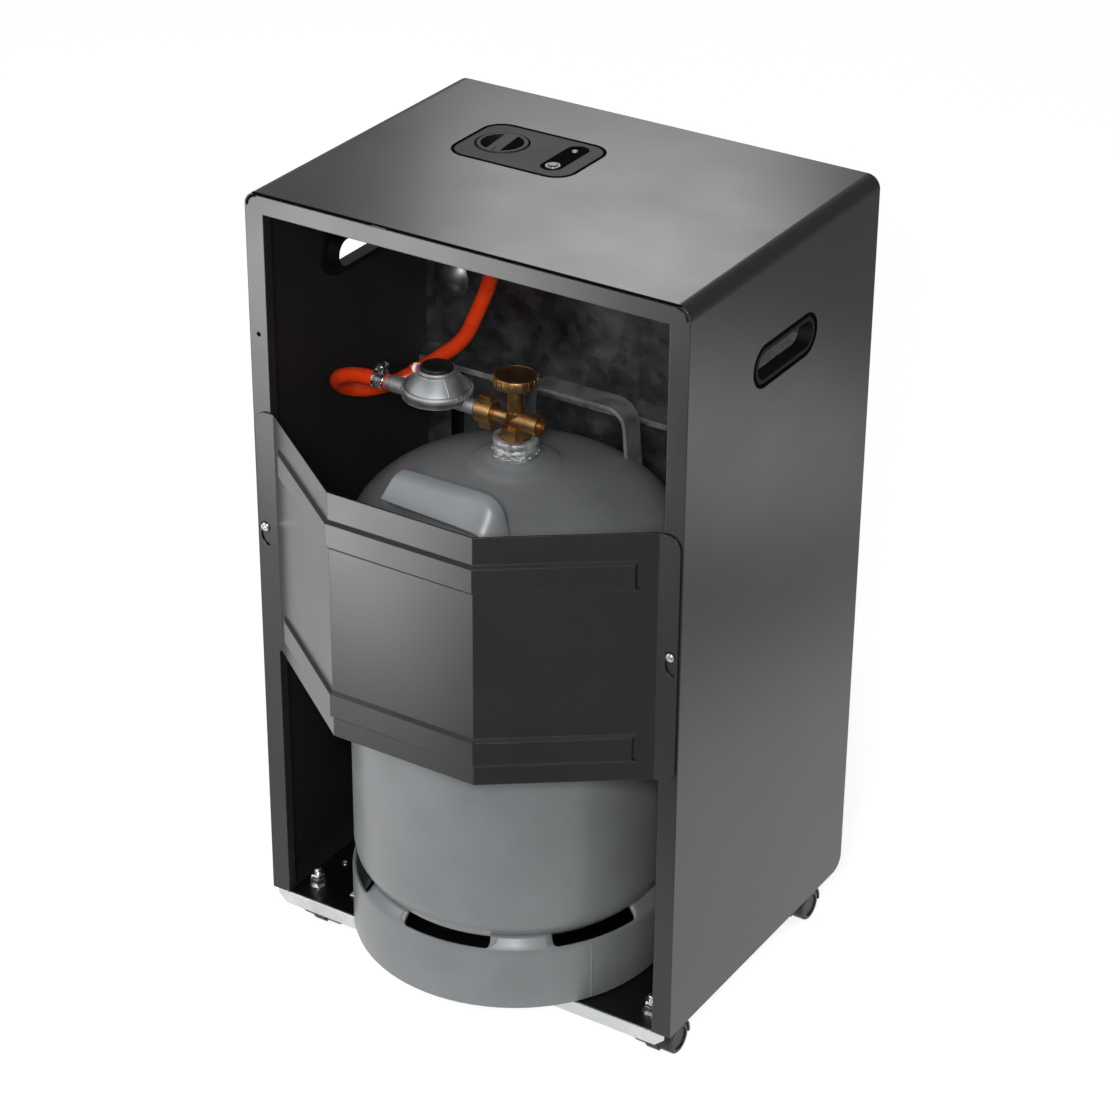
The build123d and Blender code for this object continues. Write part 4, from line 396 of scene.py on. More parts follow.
def applied(piece):
    """Turns the piece with its modifiers into a plain mesh."""
    depsgraph = bpy.context.evaluated_depsgraph_get()
    mesh = bpy.data.meshes.new_from_object(piece.evaluated_get(depsgraph))
    piece.modifiers.clear()
    piece.data = mesh
    return piece


def add_rows(form, rows, round_rows=False, caps=False):
    """Adds faces between rows of points; a round row closes on itself."""
    made = [[form.verts.new(point) for point in row] for row in rows]
    for low, high in zip(made, made[1:]):
        last = len(low) if round_rows else len(low) - 1
        for i in range(last):
            j = (i + 1) % len(low)
            form.faces.new((low[i], low[j], high[j], high[i]))
    if caps:
        form.faces.new(list(reversed(made[0])))
        form.faces.new(made[-1])


def placing(centre, direction=(0, 0, 1)):
    """Matrix that puts a shape built along Z at a centre, pointing in a direction."""
    turn = Vector((0, 0, 1)).rotation_difference(Vector(direction)).to_matrix().to_4x4()
    return Matrix.Translation(Vector(centre)) @ turn


def add_lathe(form, profile, place, steps, ripple=None):
    """Adds a turned solid from (radius, height) points in mm, from its lower to its upper pole."""
    rows = []
    for radius, height in profile:
        row = []
        for angle in turns(steps):
            reach = radius + (ripple(angle, height) if ripple and radius else 0)
            row.append(place @ polar(reach, angle, height))
        rows.append(row)
    add_rows(form, rows, round_rows=True)


def turn_piece(name, profile, slot, node, place, steps, ripple=None, **kept):
    """A turned solid that stands for a node."""
    form = bmesh.new()
    add_lathe(form, profile, place, steps, ripple)
    return seat(name, form, slot, node, **kept)


def add_sweep(form, path, section, up, closed=False):
    """Adds a section of (side, up) points in mm, swept along a path; up is given for a point."""
    count = len(path)
    rows = []
    for i, point in enumerate(path):
        before = path[i - 1] if closed or i else path[i]
        after = path[(i + 1) % count] if closed or i < count - 1 else path[i]
        along = (after - before).normalized()
        side = along.cross(up(point)).normalized()
        raised = side.cross(along)
        rows.append([point + side * s * MM + raised * u * MM for s, u in section])
    if closed:
        rows.append(rows[0])
    add_rows(form, rows, round_rows=True, caps=not closed)


def rounded_outline(half_width, half_height, corner, steps=8):
    """Points in mm of a rectangle with round corners about the origin."""
    points = []
    for turn, (sx, sy) in enumerate(((1, 1), (-1, 1), (-1, -1), (1, -1))):
        for i in range(steps + 1):
            angle = math.pi / 2 * (turn + i / steps)
            points.append((sx * (half_width - corner) + corner * math.cos(angle),
                           sy * (half_height - corner) + corner * math.sin(angle)))
    return points


def add_block(form, low, high, bevel):
    """Adds a block between two corners in mm, with its edges rounded."""
    made = bmesh.ops.create_cube(form, size=1.0)["verts"]
    for vertex in made:
        vertex.co = Vector((high[i] if vertex.co[i] > 0 else low[i]) * MM for i in range(3))
    edges = {edge for vertex in made for edge in vertex.link_edges}
    bmesh.ops.bevel(form, geom=list(edges), offset=bevel * MM, segments=3, affect="EDGES",
                    profile=0.5)


def round_section(radius, steps):
    """Section of a round bar."""
    return [(radius * math.cos(angle), radius * math.sin(angle)) for angle in turns(steps)]


# ---------------------------------------------------------------- what repeats
def start_nodes(name, sockets):
    """New geometry tree whose inputs are named and have defaults; returns it with its inputs."""
    tree = bpy.data.node_groups.new(name, "GeometryNodeTree")
    tree.interface.new_socket("Geometry", in_out="INPUT", socket_type="NodeSocketGeometry")
    for label, (kind, value) in sockets.items():
        socket = tree.interface.new_socket(label, in_out="INPUT", socket_type="NodeSocket" + kind)
        if value is not None:
            socket.default_value = value
    tree.interface.new_socket("Geometry", in_out="OUTPUT", socket_type="NodeSocketGeometry")
    return tree, add_node(tree, "NodeGroupInput").outputs


def end_nodes(tree, given, instances):
    """Makes the instances real and gives them their material."""
    real = add_node(tree, "GeometryNodeRealizeInstances", {"Geometry": instances}).outputs[0]
    dressed = add_node(tree, "GeometryNodeSetMaterial",
                       {"Geometry": real, "Material": given["Material"]}).outputs[0]
    add_node(tree, "NodeGroupOutput", {"Geometry": dressed})
    return tree


def ring_nodes():
    """Repeats the incoming item about the Z axis, each a little larger or smaller."""
    tree, given = start_nodes("items_round_a_ring", {
        "Count": ("Int", 12), "First": ("Float", 0.0), "Sweep": ("Float", 2 * math.pi),
        "Wobble": ("Float", 0.0), "Seed": ("Int", 7), "Centre": ("Vector", (0, 0, 0)),
        "Material": ("Material", None)})
    step = math_node(tree, "DIVIDE", given["Sweep"], given["Count"])
    index = add_node(tree, "GeometryNodeInputIndex").outputs[0]
    angle = math_node(tree, "MULTIPLY_ADD", index, step, given["First"])
    turn = add_node(tree, "FunctionNodeEulerToRotation", {
        "Euler": add_node(tree, "ShaderNodeCombineXYZ", {"Z": angle}).outputs[0]}).outputs[0]
    size = add_node(tree, "FunctionNodeRandomValue", {
        2: math_node(tree, "SUBTRACT", 1.0, given["Wobble"]),
        3: math_node(tree, "ADD", 1.0, given["Wobble"]), "Seed": given["Seed"]},
        data_type="FLOAT")
    points = add_node(tree, "GeometryNodePoints", {"Count": given["Count"]}).outputs[0]
    items = add_node(tree, "GeometryNodeInstanceOnPoints", {
        "Points": points, "Instance": given["Geometry"], "Rotation": turn}).outputs[0]
    sized = add_node(tree, "GeometryNodeScaleInstances",
                     {"Instances": items, "Scale": size.outputs[1]}).outputs[0]
    moved = add_node(tree, "GeometryNodeTransform",
                     {"Geometry": sized, "Translation": given["Centre"]}).outputs[0]
    return end_nodes(tree, given, moved)


def places_nodes():
    """Puts the incoming item on each vertex of Places, along its facing, at its size, spun."""
    tree, given = start_nodes("items_on_places", {
        "Places": ("Object", None), "Spin": ("Float", math.pi), "Seed": ("Int", 3),
        "Material": ("Material", None)})
    places = add_node(tree, "GeometryNodeObjectInfo", {"Object": given["Places"]})
    facing, size = [
        add_node(tree, "GeometryNodeInputNamedAttribute", {"Name": name},
                 data_type=kind).outputs["Attribute"]
        for name, kind in (("facing", "FLOAT_VECTOR"), ("size", "FLOAT"))]
    upright = add_node(tree, "FunctionNodeAlignRotationToVector", {"Vector": facing},
                       axis="Z").outputs[0]
    chance = add_node(tree, "FunctionNodeRandomValue", {
        2: 0.0, 3: given["Spin"], "Seed": given["Seed"]}, data_type="FLOAT").outputs[1]
    spin = add_node(tree, "FunctionNodeAxisAngleToRotation",
                    {"Axis": (0, 0, 1), "Angle": chance}).outputs[0]
    turn = add_node(tree, "FunctionNodeRotateRotation",
                    {"Rotation": upright, "Rotate By": spin}, rotation_space="LOCAL").outputs[0]
    items = add_node(tree, "GeometryNodeInstanceOnPoints", {
        "Points": places.outputs["Geometry"], "Instance": given["Geometry"], "Rotation": turn,
        "Scale": size}).outputs[0]
    return end_nodes(tree, given, items)


def repeated(name, form, make_tree, finish_name, values):
    """Builds the item, repeats it by the tree and turns the result into a plain piece."""
    material = finish(finish_name)
    piece = finished(name, form, material)
    modifier = piece.modifiers.new("repeat", "NODES")
    modifier.node_group = make_tree()
    given = {**values, "Material": material}
    for socket in modifier.node_group.interface.items_tree:
        if socket.in_out == "INPUT" and socket.name in given:
            modifier[socket.identifier] = given[socket.name]
    return applied(piece)


def ring_of(name, form, slot, body="cabinet", **values):
    """Repeats an item about the Z axis as a kept piece in its slot's finish."""
    return keep(repeated(name, form, ring_nodes, slot, values), slot, body=body)


def on_places(name, form, places, *replaced, spin=math.pi):
    """Repeats a plated fastener on places given as (x, y, z in mm), facing and size."""
    points = bpy.data.meshes.new(name + "_places")
    points.from_pydata([Vector(place[0]) * MM for place in places], [], [])
    points.attributes.new("facing", "FLOAT_VECTOR", "POINT")
    points.attributes.new("size", "FLOAT", "POINT")
    for i, place in enumerate(places):
        points.attributes["facing"].data[i].vector = place[1]
        points.attributes["size"].data[i].value = place[2]
    holder = bpy.data.objects.new(name + "_places", points)
    bpy.context.scene.collection.objects.link(holder)
    piece = repeated(name, form, places_nodes, "plated_steel", {"Places": holder, "Spin": spin})
    bpy.data.objects.remove(holder)
    return keep(piece, "plated_steel", *replaced)


def pan_head():
    """Pan-head screw of radius 1 mm facing +Z, with a cross recess; it is scaled to its size."""
    form = bmesh.new()
    steps, rings, seat_depth = 32, 9, -0.3
    crown, flatness = 0.62, 0.93
    recess_reach, recess_width, recess_depth = 0.56, 0.16, 0.34
    rows = [[polar(reach, angle, seat_depth) for angle in turns(steps)] for reach in (0, 1)]
    for ring in range(rings, -1, -1):
        reach = ring / rings
        row = []
        for angle in turns(steps):
            height = crown * math.sqrt(1 - flatness * reach ** 2)
            sides = sorted((abs(reach * math.cos(angle)), abs(reach * math.sin(angle))))
            if sides[0] < recess_width and sides[1] < recess_reach:
                height -= recess_depth
            row.append(polar(reach, angle, height))
        rows.append(row)
    add_rows(form, rows, round_rows=True)
    return form


def hex_nut(flats, height, bore):
    """Hexagon nut standing on its face, its corners turned off, for a stud."""
    form = bmesh.new()
    corner, face = flats / math.sqrt(3), flats * 0.49
    chamfer = height * 0.16

    def outline(reach, level):
        """Hexagon cut off by a circle."""
        row = []
        for angle in turns(48):
            local = (angle + math.pi / 6) % (math.pi / 3) - math.pi / 6
            row.append(polar(min(flats / 2 / math.cos(local), reach), angle, level))
        return row

    rows = [outline(bore, 0), outline(face, 0), outline(corner, chamfer),
            outline(corner, height - chamfer), outline(face, height), outline(bore, height)]
    rows.append(rows[0])
    add_rows(form, rows, round_rows=True)
    return form


# ---------------------------------------------------------------- settings
class HeaterHoseSettings(bpy.types.PropertyGroup):
    diameter: FloatProperty(
        name="Hose diameter", description="Outside diameter of the gas hose",
        default=0.0135, unit="LENGTH")
    band_ribs: IntProperty(
        name="Clamp band ribs", description="Pressed thread ribs on each worm-drive band",
        default=22, min=6, max=60)


class HeaterBottleSettings(bpy.types.PropertyGroup):
    slot_half_angle: FloatProperty(
        name="Slot half angle", description="Half of the angle that a slot of the foot ring spans",
        default=math.radians(17), unit="ROTATION")
    handle_sheet: FloatProperty(
        name="Handle sheet", description="Thickness of the rolled carry handle's sheet",
        default=0.0024, unit="LENGTH")
    weld_beads: IntProperty(
        name="Weld beads", description="Beads of the weld round the neck", default=40, min=8)


class HeaterValveSettings(bpy.types.PropertyGroup):
    wheel_teeth: IntProperty(
        name="Handwheel teeth", description="Ridges round the valve's handwheel", default=18,
        min=6)
    rim_tabs: IntProperty(
        name="Crimp tabs", description="Crimped tabs round the regulator's rim", default=30,
        min=6)


class HeaterTrimSettings(bpy.types.PropertyGroup):
    gasket_width: FloatProperty(
        name="Gasket width", description="Width of the black gasket round the control plate",
        default=0.0028, unit="LENGTH")
    screw_size: FloatProperty(
        name="Screw head", description="Radius of the guard's pan-head screws",
        default=0.0042, unit="LENGTH")


class HeaterStageSettings(bpy.types.PropertyGroup):
    floor_size: FloatProperty(
        name="Floor size", description="Side of the pale studio floor", default=14.0,
        unit="LENGTH")
    pool: FloatProperty(
        name="Light pool", description="Brightness of the pool of light at the left of the heater",
        default=9.5)
    sky: FloatProperty(
        name="Room brightness", description="Brightness of the room above the floor", default=0.38)
    top_power: FloatProperty(
        name="Top light", description="Power of the softbox mirrored in the top", default=5.0,
        unit="POWER")
    rear_power: FloatProperty(
        name="Rear light", description="Power of the softbox that looks into the open rear",
        default=24.0, unit="POWER")
    bay_power: FloatProperty(
        name="Bay light", description="Power of the softbox that lights the valve and the hose",
        default=36.0, unit="POWER")


# ---------------------------------------------------------------- stage
CAMERA_PLACE = (-1.31734, 2.06369, 1.76404)
CAMERA_TURN = [math.radians(angle) for angle in (60.8522, -0.4187, -147.7582)]
CAMERA_LENS, SENSOR = 105.25, 36.0
# Each softbox: where it stands, what it looks at, its width and its height.
SOFTBOXES = {"top": ((1.14, -2.04, 2.0), (0, -0.05, 0.73), 0.6, 0.7),
             "rear": ((2.1, 1.9, 1.8), (0, 0, 0.45), 1.4, 1.2),
             "bay": ((-1.05, 1.9, 1.7), (0, 0, 0.45), 0.4, 0.4)}


def softbox(name, place, target, width, height, power):
    """Rectangular studio light that the camera doesn't see."""
    light = bpy.data.lights.new(name, "AREA")
    light.shape = "RECTANGLE"
    light.size, light.size_y = width, height
    light.energy = power
    lamp = bpy.data.objects.new(name, light)
    lamp.location = place
    lamp.rotation_euler = (Vector(target) - Vector(place)).to_track_quat("-Z", "Y").to_euler()
    lamp.visible_camera = False
    bpy.context.scene.collection.objects.link(lamp)


def paper_with_painted_light(pool):
    """White floor paper that glows: painted darker at the far right, white behind the heater, with a
    painted pool of light.
    """
    material, tree, shader, place = start_material("matt_white_paper", Roughness=0.9,
                                                   Base_Color=linear("#a0a0a0"))
    axes = axes_of(tree, place)

    def slant(x_share, y_share):
        """Sum of shares of x and y."""
        scaled = math_node(tree, "MULTIPLY", axes["X"], x_share)
        return math_node(tree, "MULTIPLY_ADD", axes["Y"], y_share, scaled)

    def smooth(value, low, high, from_low, from_high):
        """Soft step from low to high."""
        return ramp(tree, value, low, high, from_low, from_high, "SMOOTHSTEP")

    def spot(x, y, low, high, near, far):
        """Round patch of light: low inside the near radius, high beyond the far one."""
        away = add_node(tree, "ShaderNodeVectorMath", {0: place, 1: (x, y, 0)},
                        operation="DISTANCE").outputs["Value"]
        return smooth(away, low, high, near, far)

    # painted light on the floor: the glow is dimmed at the far right as painted shade, and raised into a
    # painted pool of light and a painted patch of light at the side
    behind = smooth(slant(1, 0.4145), 0.12, 0.8, -0.95, -0.55)
    beam = smooth(slant(1, -0.61), 0, pool, -0.22, 0.02)
    pool_light = math_node(tree, "MULTIPLY_ADD", beam, spot(1.0, 1.3, 1, 0.05, 0.3, 1.5), 0.04)
    front = smooth(slant(-0.63, 1), 0, 1, 0.38, 0.52)
    glow = add_node(tree, "ShaderNodeMix", {0: front, 2: behind, 3: pool_light}).outputs[0]
    side_light_patch = spot(-0.85, -0.95, 1.1, 0.0, 0.1, 0.4)
    dress(tree, shader, Emission_Strength=math_node(tree, "ADD", glow, side_light_patch))
    shader.inputs["Emission Color"].default_value = (1, 1, 1, 1)
    return material


class HEATER_OT_stage(bpy.types.Operator):
    """Set the pale floor, the soft lights and the camera of the photograph"""
    bl_idname = "heater.stage"
    bl_label = "Stage"

    def execute(self, context):
        scene = context.scene
        settings = scene.heater_stage
        camera = bpy.data.cameras.new("photo_camera")
        camera.sensor_fit = "HORIZONTAL"
        camera.sensor_width = SENSOR
        camera.lens = CAMERA_LENS
        camera.clip_end = 50
        eye = bpy.data.objects.new("photo_camera", camera)
        eye.location = CAMERA_PLACE
        eye.rotation_euler = Euler(CAMERA_TURN)
        scene.collection.objects.link(eye)
        scene.camera = eye

        half = settings.floor_size / 2
        mesh = bpy.data.meshes.new("studio_floor")
        mesh.from_pydata([(-half, -half, 0), (half, -half, 0), (half, half, 0), (-half, half, 0)],
                         [], [(0, 1, 2, 3)])
        new_piece("studio_floor", mesh, paper_with_painted_light(settings.pool), smooth=False)

        world = bpy.data.worlds.new("studio_room")
        world.use_nodes = True
        background = world.node_tree.nodes["Background"]
        background.inputs["Color"].default_value = (1, 1, 1, 1)
        background.inputs["Strength"].default_value = settings.sky
        scene.world = world
        scene.view_settings.view_transform = "Standard"
        scene.view_settings.look = "None"

        for name, stand in SOFTBOXES.items():
            softbox(name + "_softbox", *stand, getattr(settings, name + "_power"))
        return {"FINISHED"}


# ---------------------------------------------------------------- hose
# Centre line of the hose, from the regulator's coupling round the loop up to the tap.
HOSE_ROUTE = [
    (0.131, 0.024, 0.543), (0.156, 0.024, 0.543), (0.180, 0.022, 0.536),
    (0.196, 0.011, 0.5215), (0.201, -0.010, 0.504), (0.191, -0.038, 0.494),
    (0.174, -0.064, 0.500), (0.150, -0.077, 0.519), (0.126, -0.085, 0.540),
    (0.115, -0.090, 0.569), (0.104, -0.091, 0.596), (0.096, -0.091, 0.625),
    (0.096, -0.091, 0.650),
]
BAND_WIDTH = 12.0


def clamp(name, node, ribs, along, screw_side, middle):
    """Worm-drive hose clamp: a band with rolled edges, its pressed ribs, housing and screw.

    Its own axes are Z along the hose and X towards the housing.
    """
    frame_of = Matrix((screw_side, along.cross(screw_side), along)).transposed().to_4x4()
    place = Matrix.Translation(Vector(middle) * MM) @ frame_of
    half = BAND_WIDTH / 2
    form = bmesh.new()
    band = [(6.9, -half), (7.7, -half), (7.95, -half + 0.5), (7.7, -half + 1.1),
            (7.55, -half + 1.5), (7.55, half - 1.5), (7.7, half - 1.1), (7.95, half - 0.5),
            (7.7, half), (6.9, half), (6.9, -half)]
    add_lathe(form, band, Matrix(), steps=56)
    add_block(form, (7.2, -4.6, -4.8), (9.0, 4.6, 4.8), 0.5)
    add_block(form, (8.6, -3.4, -3.9), (15.0, 4.4, 3.9), 1.7)
    across = placing((11.9 * MM, 0, 0), (0, 1, 0))
    add_lathe(form, [(0, -7.8), (1.5, -7.8), (2.4, -7.4), (2.4, 5.2), (3.3, 5.3), (3.3, 7.4),
                     (2.7, 8.0), (0, 8.0)], across, steps=24)
    piece = finished(name + "_metal", form, finish("plated_steel"))

    rib = bmesh.new()
    add_block(rib, (7.35, -0.45, -half + 1.9), (7.85, 0.45, half - 1.9), 0.15)
    ribs_piece = repeated(name + "_ribs", rib, ring_nodes, "plated_steel",
                          {"Count": ribs, "First": math.radians(48),
                           "Sweep": math.radians(270)})
    for part in (piece, ribs_piece):
        part.data.transform(place)
    keep(piece, "plated_steel", node)
    keep(ribs_piece, "plated_steel")
    return [piece, ribs_piece]


class HEATER_OT_hose(bpy.types.Operator):
    """Lay the gas hose from the regulator to the tap as one smooth curve, with its clamps"""
    bl_idname = "heater.hose"
    bl_label = "Gas hose"

    def execute(self, context):
        settings = context.scene.heater_hose
        curve = bpy.data.curves.new("gas_hose_tube", "CURVE")
        curve.dimensions = "3D"
        spline = curve.splines.new("NURBS")
        spline.points.add(len(HOSE_ROUTE) - 1)
        for point, place in zip(spline.points, HOSE_ROUTE):
            point.co = (*place, 1.0)
        spline.order_u = 3
        spline.use_endpoint_u = True
        spline.resolution_u = 16
        curve.bevel_depth = settings.diameter / 2
        curve.bevel_resolution = 8
        curve.use_fill_caps = True
        curve.materials.append(finish("hose_rubber"))
        hose = bpy.data.objects.new("gas_hose_tube", curve)
        context.scene.collection.objects.link(hose)
        keep(hose, "hose_rubber", "gas_hose")
        x_way, y_way, z_way = Vector((1, 0, 0)), Vector((0, 1, 0)), Vector((0, 0, 1))
        clamps = clamp("regulator_clamp", "hose_clamp_regulator", settings.band_ribs,
                       x_way, z_way, (138, 24, 543))
        clamps += clamp("tap_clamp", "hose_clamp_tap", settings.band_ribs,
                        z_way, y_way, (96, -91, 643))
        return {"FINISHED"}


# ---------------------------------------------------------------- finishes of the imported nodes
class HEATER_OT_finishes(bpy.types.Operator):
    """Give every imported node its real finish"""
    bl_idname = "heater.finishes"
    bl_label = "Finishes"

    def execute(self, context):
        for part in frame["record"]["subparts"]:
            name = part["node"]
            mesh = frame["nodes"][name].data
            mesh.materials.clear()
            mesh.materials.append(finish(OWN_FINISH.get(name, part["material_slot"])))
            for polygon in mesh.polygons:
                polygon.material_index = 0
        return {"FINISHED"}


# ---------------------------------------------------------------- gas bottle
BOTTLE_Y = 24.0
BOTTLE_CENTRE = (2.0 * MM, BOTTLE_Y * MM, 0.0)
BOTTLE_AXIS = placing(BOTTLE_CENTRE)
BOTTLE_RADIUS = 143.5
HEEL_START, HEEL_DEPTH, BOTTLE_FOOT = 137.0, 62.0, 75.0
SHOULDER, DOME_RISE = 432.0, 74.0
RING_RADIUS, SLOT_FLOOR, SLOT_CORNER = 145.5, 107.3, 4.5
SLOT_PITCH, FIRST_SLOT = 56.0, 41.0
SEAM_ANGLE = math.radians(150)


def bottle_profile():
    """Rounded heel, straight wall, dome and the soft swelling round the neck."""
    profile = [(0, BOTTLE_FOOT)]
    steepest = math.asin((HEEL_START - BOTTLE_FOOT) / HEEL_DEPTH)
    for i in range(11):
        angle = steepest * (1 - i / 10)
        profile.append((BOTTLE_RADIUS * math.cos(angle), HEEL_START - HEEL_DEPTH * math.sin(angle)))
    for i in range(17):
        angle = math.radians(73) * i / 16
        profile.append((BOTTLE_RADIUS * math.cos(angle), SHOULDER + DOME_RISE * math.sin(angle)))
    profile += [(39.5, 503.6), (37.6, 505.0), (34.5, 506.6), (30, 507.8), (27, 508.6),
                (24.5, 510.0), (22.5, 511.3), (0, 511.5)]
    return profile


def ring_wall(height):
    """Radius of the foot ring's wall above the slots' floor: it leans in to meet the heel."""
    return RING_RADIUS - 1.2 - 0.82 * height


def slot_columns(half):
    """Angles round the ring with how high the wall reaches there; None is the whole height."""
    columns = []
    corner = math.degrees(SLOT_CORNER / RING_RADIUS)
    count = 6
    for slot in range(count):
        middle = FIRST_SLOT + SLOT_PITCH * slot
        arc = [(corner * (1 - math.cos(a)), SLOT_CORNER * (1 - math.sin(a)))
               for a in (math.pi / 2 * i / 5 for i in range(1, 6))]
        columns.append((middle - half, "edge"))
        columns += [(middle - half + turn, rise) for turn, rise in arc]
        flat = 2 * (half - corner)
        columns += [(middle - half + corner + flat * i / 7, 0.0) for i in range(1, 7)]
        columns += [(middle + half - turn, rise) for turn, rise in reversed(arc)]
        columns.append((middle + half, "edge"))
        gap = (SLOT_PITCH if slot < count - 1 else 360 - SLOT_PITCH * (count - 1)) - 2 * half
        columns += [(middle + half + gap * i / 8, "edge") for i in range(1, 8)]
    return columns


def foot_ring_form(half):
    """The ring's outer skin: foot, wall and the slotted, leaning top."""
    form = bmesh.new()
    low = [(139.5, 45.3), (143.2, 45.3), (144.9, 46.3), (RING_RADIUS, 48.5),
           (RING_RADIUS, 75), (RING_RADIUS, 101), (RING_RADIUS - 0.2, 104.2),
           (RING_RADIUS - 0.6, 106), (ring_wall(0), SLOT_FLOOR)]
    levels = [0, SLOT_CORNER, 7.2, 10]
    columns = slot_columns(half)

    def at(turn, radius, height):
        """New vertex on the ring's wall."""
        angle = math.radians(turn)
        return form.verts.new(BOTTLE_AXIS @ polar(radius, angle, height))

    def above(turn, rise):
        """New vertex on the leaning part over the slots' floor."""
        return at(turn, ring_wall(rise), SLOT_FLOOR + rise)

    for (turn, rise), (turn2, rise2) in zip(columns, columns[1:] + columns[:1]):
        for (r, z), (r2, z2) in zip(low, low[1:]):
            form.faces.new((at(turn, r, z), at(turn2, r, z), at(turn2, r2, z2), at(turn, r2, z2)))
        if rise == "edge" and rise2 == "edge":
            for level, level2 in zip(levels, levels[1:]):
                form.faces.new((above(turn, level), above(turn2, level), above(turn2, level2),
                                above(turn, level2)))
            continue
        rise = SLOT_CORNER if rise == "edge" else rise
        rise2 = SLOT_CORNER if rise2 == "edge" else rise2
        if max(rise, rise2) < 1e-6:
            continue
        corners = [above(turn, 0), above(turn2, 0)]
        corners += [above(turn2, rise2)] if rise2 > 1e-6 else []
        corners += [above(turn, rise)] if rise > 1e-6 else []
        form.faces.new(corners)
    bmesh.ops.remove_doubles(form, verts=form.verts, dist=1e-5)
    return form


class HEATER_OT_bottle(bpy.types.Operator):
    """Turn the gas bottle and form its slotted foot ring, neck ring and neck weld"""
    bl_idname = "heater.bottle"
    bl_label = "Gas bottle"

    def execute(self, context):
        settings = context.scene.heater_bottle
        turn_piece("bottle_shell", bottle_profile(), "bottle_paint", "gas_bottle", BOTTLE_AXIS, 144)

        form = foot_ring_form(math.degrees(settings.slot_half_angle))
        ring = finished("slotted_foot_ring", form, finish("bottle_paint"))
        wall = ring.modifiers.new("wall", "SOLIDIFY")
        wall.thickness = 3 * MM
        wall.offset = -1
        applied(ring)
        keep(ring, "bottle_paint", "foot_ring")

        seam = bmesh.new()
        path = [BOTTLE_AXIS @ polar(RING_RADIUS - 0.4, SEAM_ANGLE, z)
                for z in (48, 60, 75, 90, 104)]
        add_sweep(seam, path, [(-1.6, -0.6), (-1.1, 0.5), (0, 0.8), (1.1, 0.5), (1.6, -0.6)],
                  lambda point: polar(1, SEAM_ANGLE))
        seat("foot_ring_seam", seam, "bottle_paint")

        def rough(angle, height):
            """Uneven casting of the neck ring, in mm."""
            return 0.22 * math.sin(7 * angle + height) + 0.16 * math.sin(17 * angle - 2 * height)

        neck = [(0, 510.5), (19.0, 510.6), (19.4, 512.2), (19.2, 514.2), (17.9, 515.2),
                (17.9, 516.3), (19.3, 517.2), (19.5, 519.2), (18.4, 520.6), (18.3, 521.8),
                (19.4, 522.8), (19.6, 525.8), (18.9, 527.6), (17.4, 528.4), (14.2, 528.2),
                (13.4, 526.9), (12.4, 527.2), (11.8, 529.4), (0, 529.6)]
        turn_piece("threaded_neck_ring", neck, "galvanised_casting", "neck_ring", BOTTLE_AXIS, 120,
                   rough)

        bead = bmesh.new()
        bmesh.ops.create_uvsphere(bead, u_segments=12, v_segments=8, radius=1.0)
        bmesh.ops.transform(bead, matrix=Matrix.Translation((19.2 * MM, 0, 511.6 * MM))
                            @ Matrix.Diagonal((1.9 * MM, 2.9 * MM, 1.5 * MM, 1)),
                            verts=bead.verts)
        ring_of("neck_weld", bead, "galvanised_casting", Count=settings.weld_beads, Wobble=0.012,
                Centre=BOTTLE_CENTRE)
        return {"FINISHED"}


# Stations of the rolled handle in mm, from its left foot to its right one: the inner (upper)
# edge and the outer (lower) edge of the sheet.
HANDLE_STATIONS = [
    ((63, 112.5, 472), (62, 122, 470)), ((61.5, 112.5, 493), (62.5, 129, 489)),
    ((60, 112.5, 510), (62, 134, 499)), ((58, 112.5, 517.5), (61.5, 136, 502.8)),
    ((54, 112.5, 521.2), (59, 136, 502.8)), ((48, 112.5, 521.6), (54, 136, 502.3)),
    ((30, 112.5, 521.7), (34, 136, 501.3)), ((10, 112.5, 521.8), (12, 136, 500.2)),
    ((-12, 112.5, 522.0), (-9, 136, 499.2)), ((-28, 112.5, 521.9), (-24, 136, 498.2)),
    ((-36, 112.5, 519.9), (-32, 136, 497.0)), ((-42, 112.5, 514.5), (-38.5, 135, 494.0)),
    ((-45.5, 112.5, 508), (-43.5, 132.5, 489.4)), ((-48, 112.5, 498), (-47.5, 129, 483.5)),
    ((-51, 112.5, 486), (-50.5, 126, 478)), ((-53, 112.5, 472), (-52.5, 124, 470)),
]
# How far across and down the sheet each point of its rolled section lies.
HANDLE_ROLL = [(0, 0), (0.17, 0.03), (0.35, 0.09), (0.47, 0.2), (0.62, 0.42), (0.80, 0.71),
               (1.0, 1.0)]
HANDLE_LIP = Vector((0, 1.3, -0.3)) * MM


class HEATER_OT_handle(bpy.types.Operator):
    """Roll the near carry handle from sheet, with its curled lip"""
    bl_idname = "heater.handle"
    bl_label = "Carry handle"

    def execute(self, context):
        form = bmesh.new()
        rows = []
        for inner, outer in HANDLE_STATIONS:
            reach = Vector(outer) - Vector(inner)
            row = [(Vector(inner) + Vector((reach.x * across, reach.y * across,
                                            reach.z * down))) * MM
                   for across, down in HANDLE_ROLL]
            rows.append(row + [row[-1] + HANDLE_LIP])
        add_rows(form, rows)
        for face in form.faces:
            face.normal_update()
        if sum(face.normal.z for face in form.faces) < 0:
            bmesh.ops.reverse_faces(form, faces=form.faces)
        handle = finished("rolled_handle", form, finish("handle_paint"), outward=False)
        sheet = handle.modifiers.new("sheet", "SOLIDIFY")
        sheet.thickness = context.scene.heater_bottle.handle_sheet
        sheet.offset = -1
        smooth = handle.modifiers.new("smooth", "SUBSURF")
        smooth.levels = smooth.render_levels = 2
        applied(handle)
        keep(handle, "bottle_paint", "carry_handle_rear")
        return {"FINISHED"}


# ---------------------------------------------------------------- valve and regulator
REGULATOR_CENTRE = (80.5 * MM, BOTTLE_Y * MM, 0.0)
FOLD_ANGLE = math.radians(146)


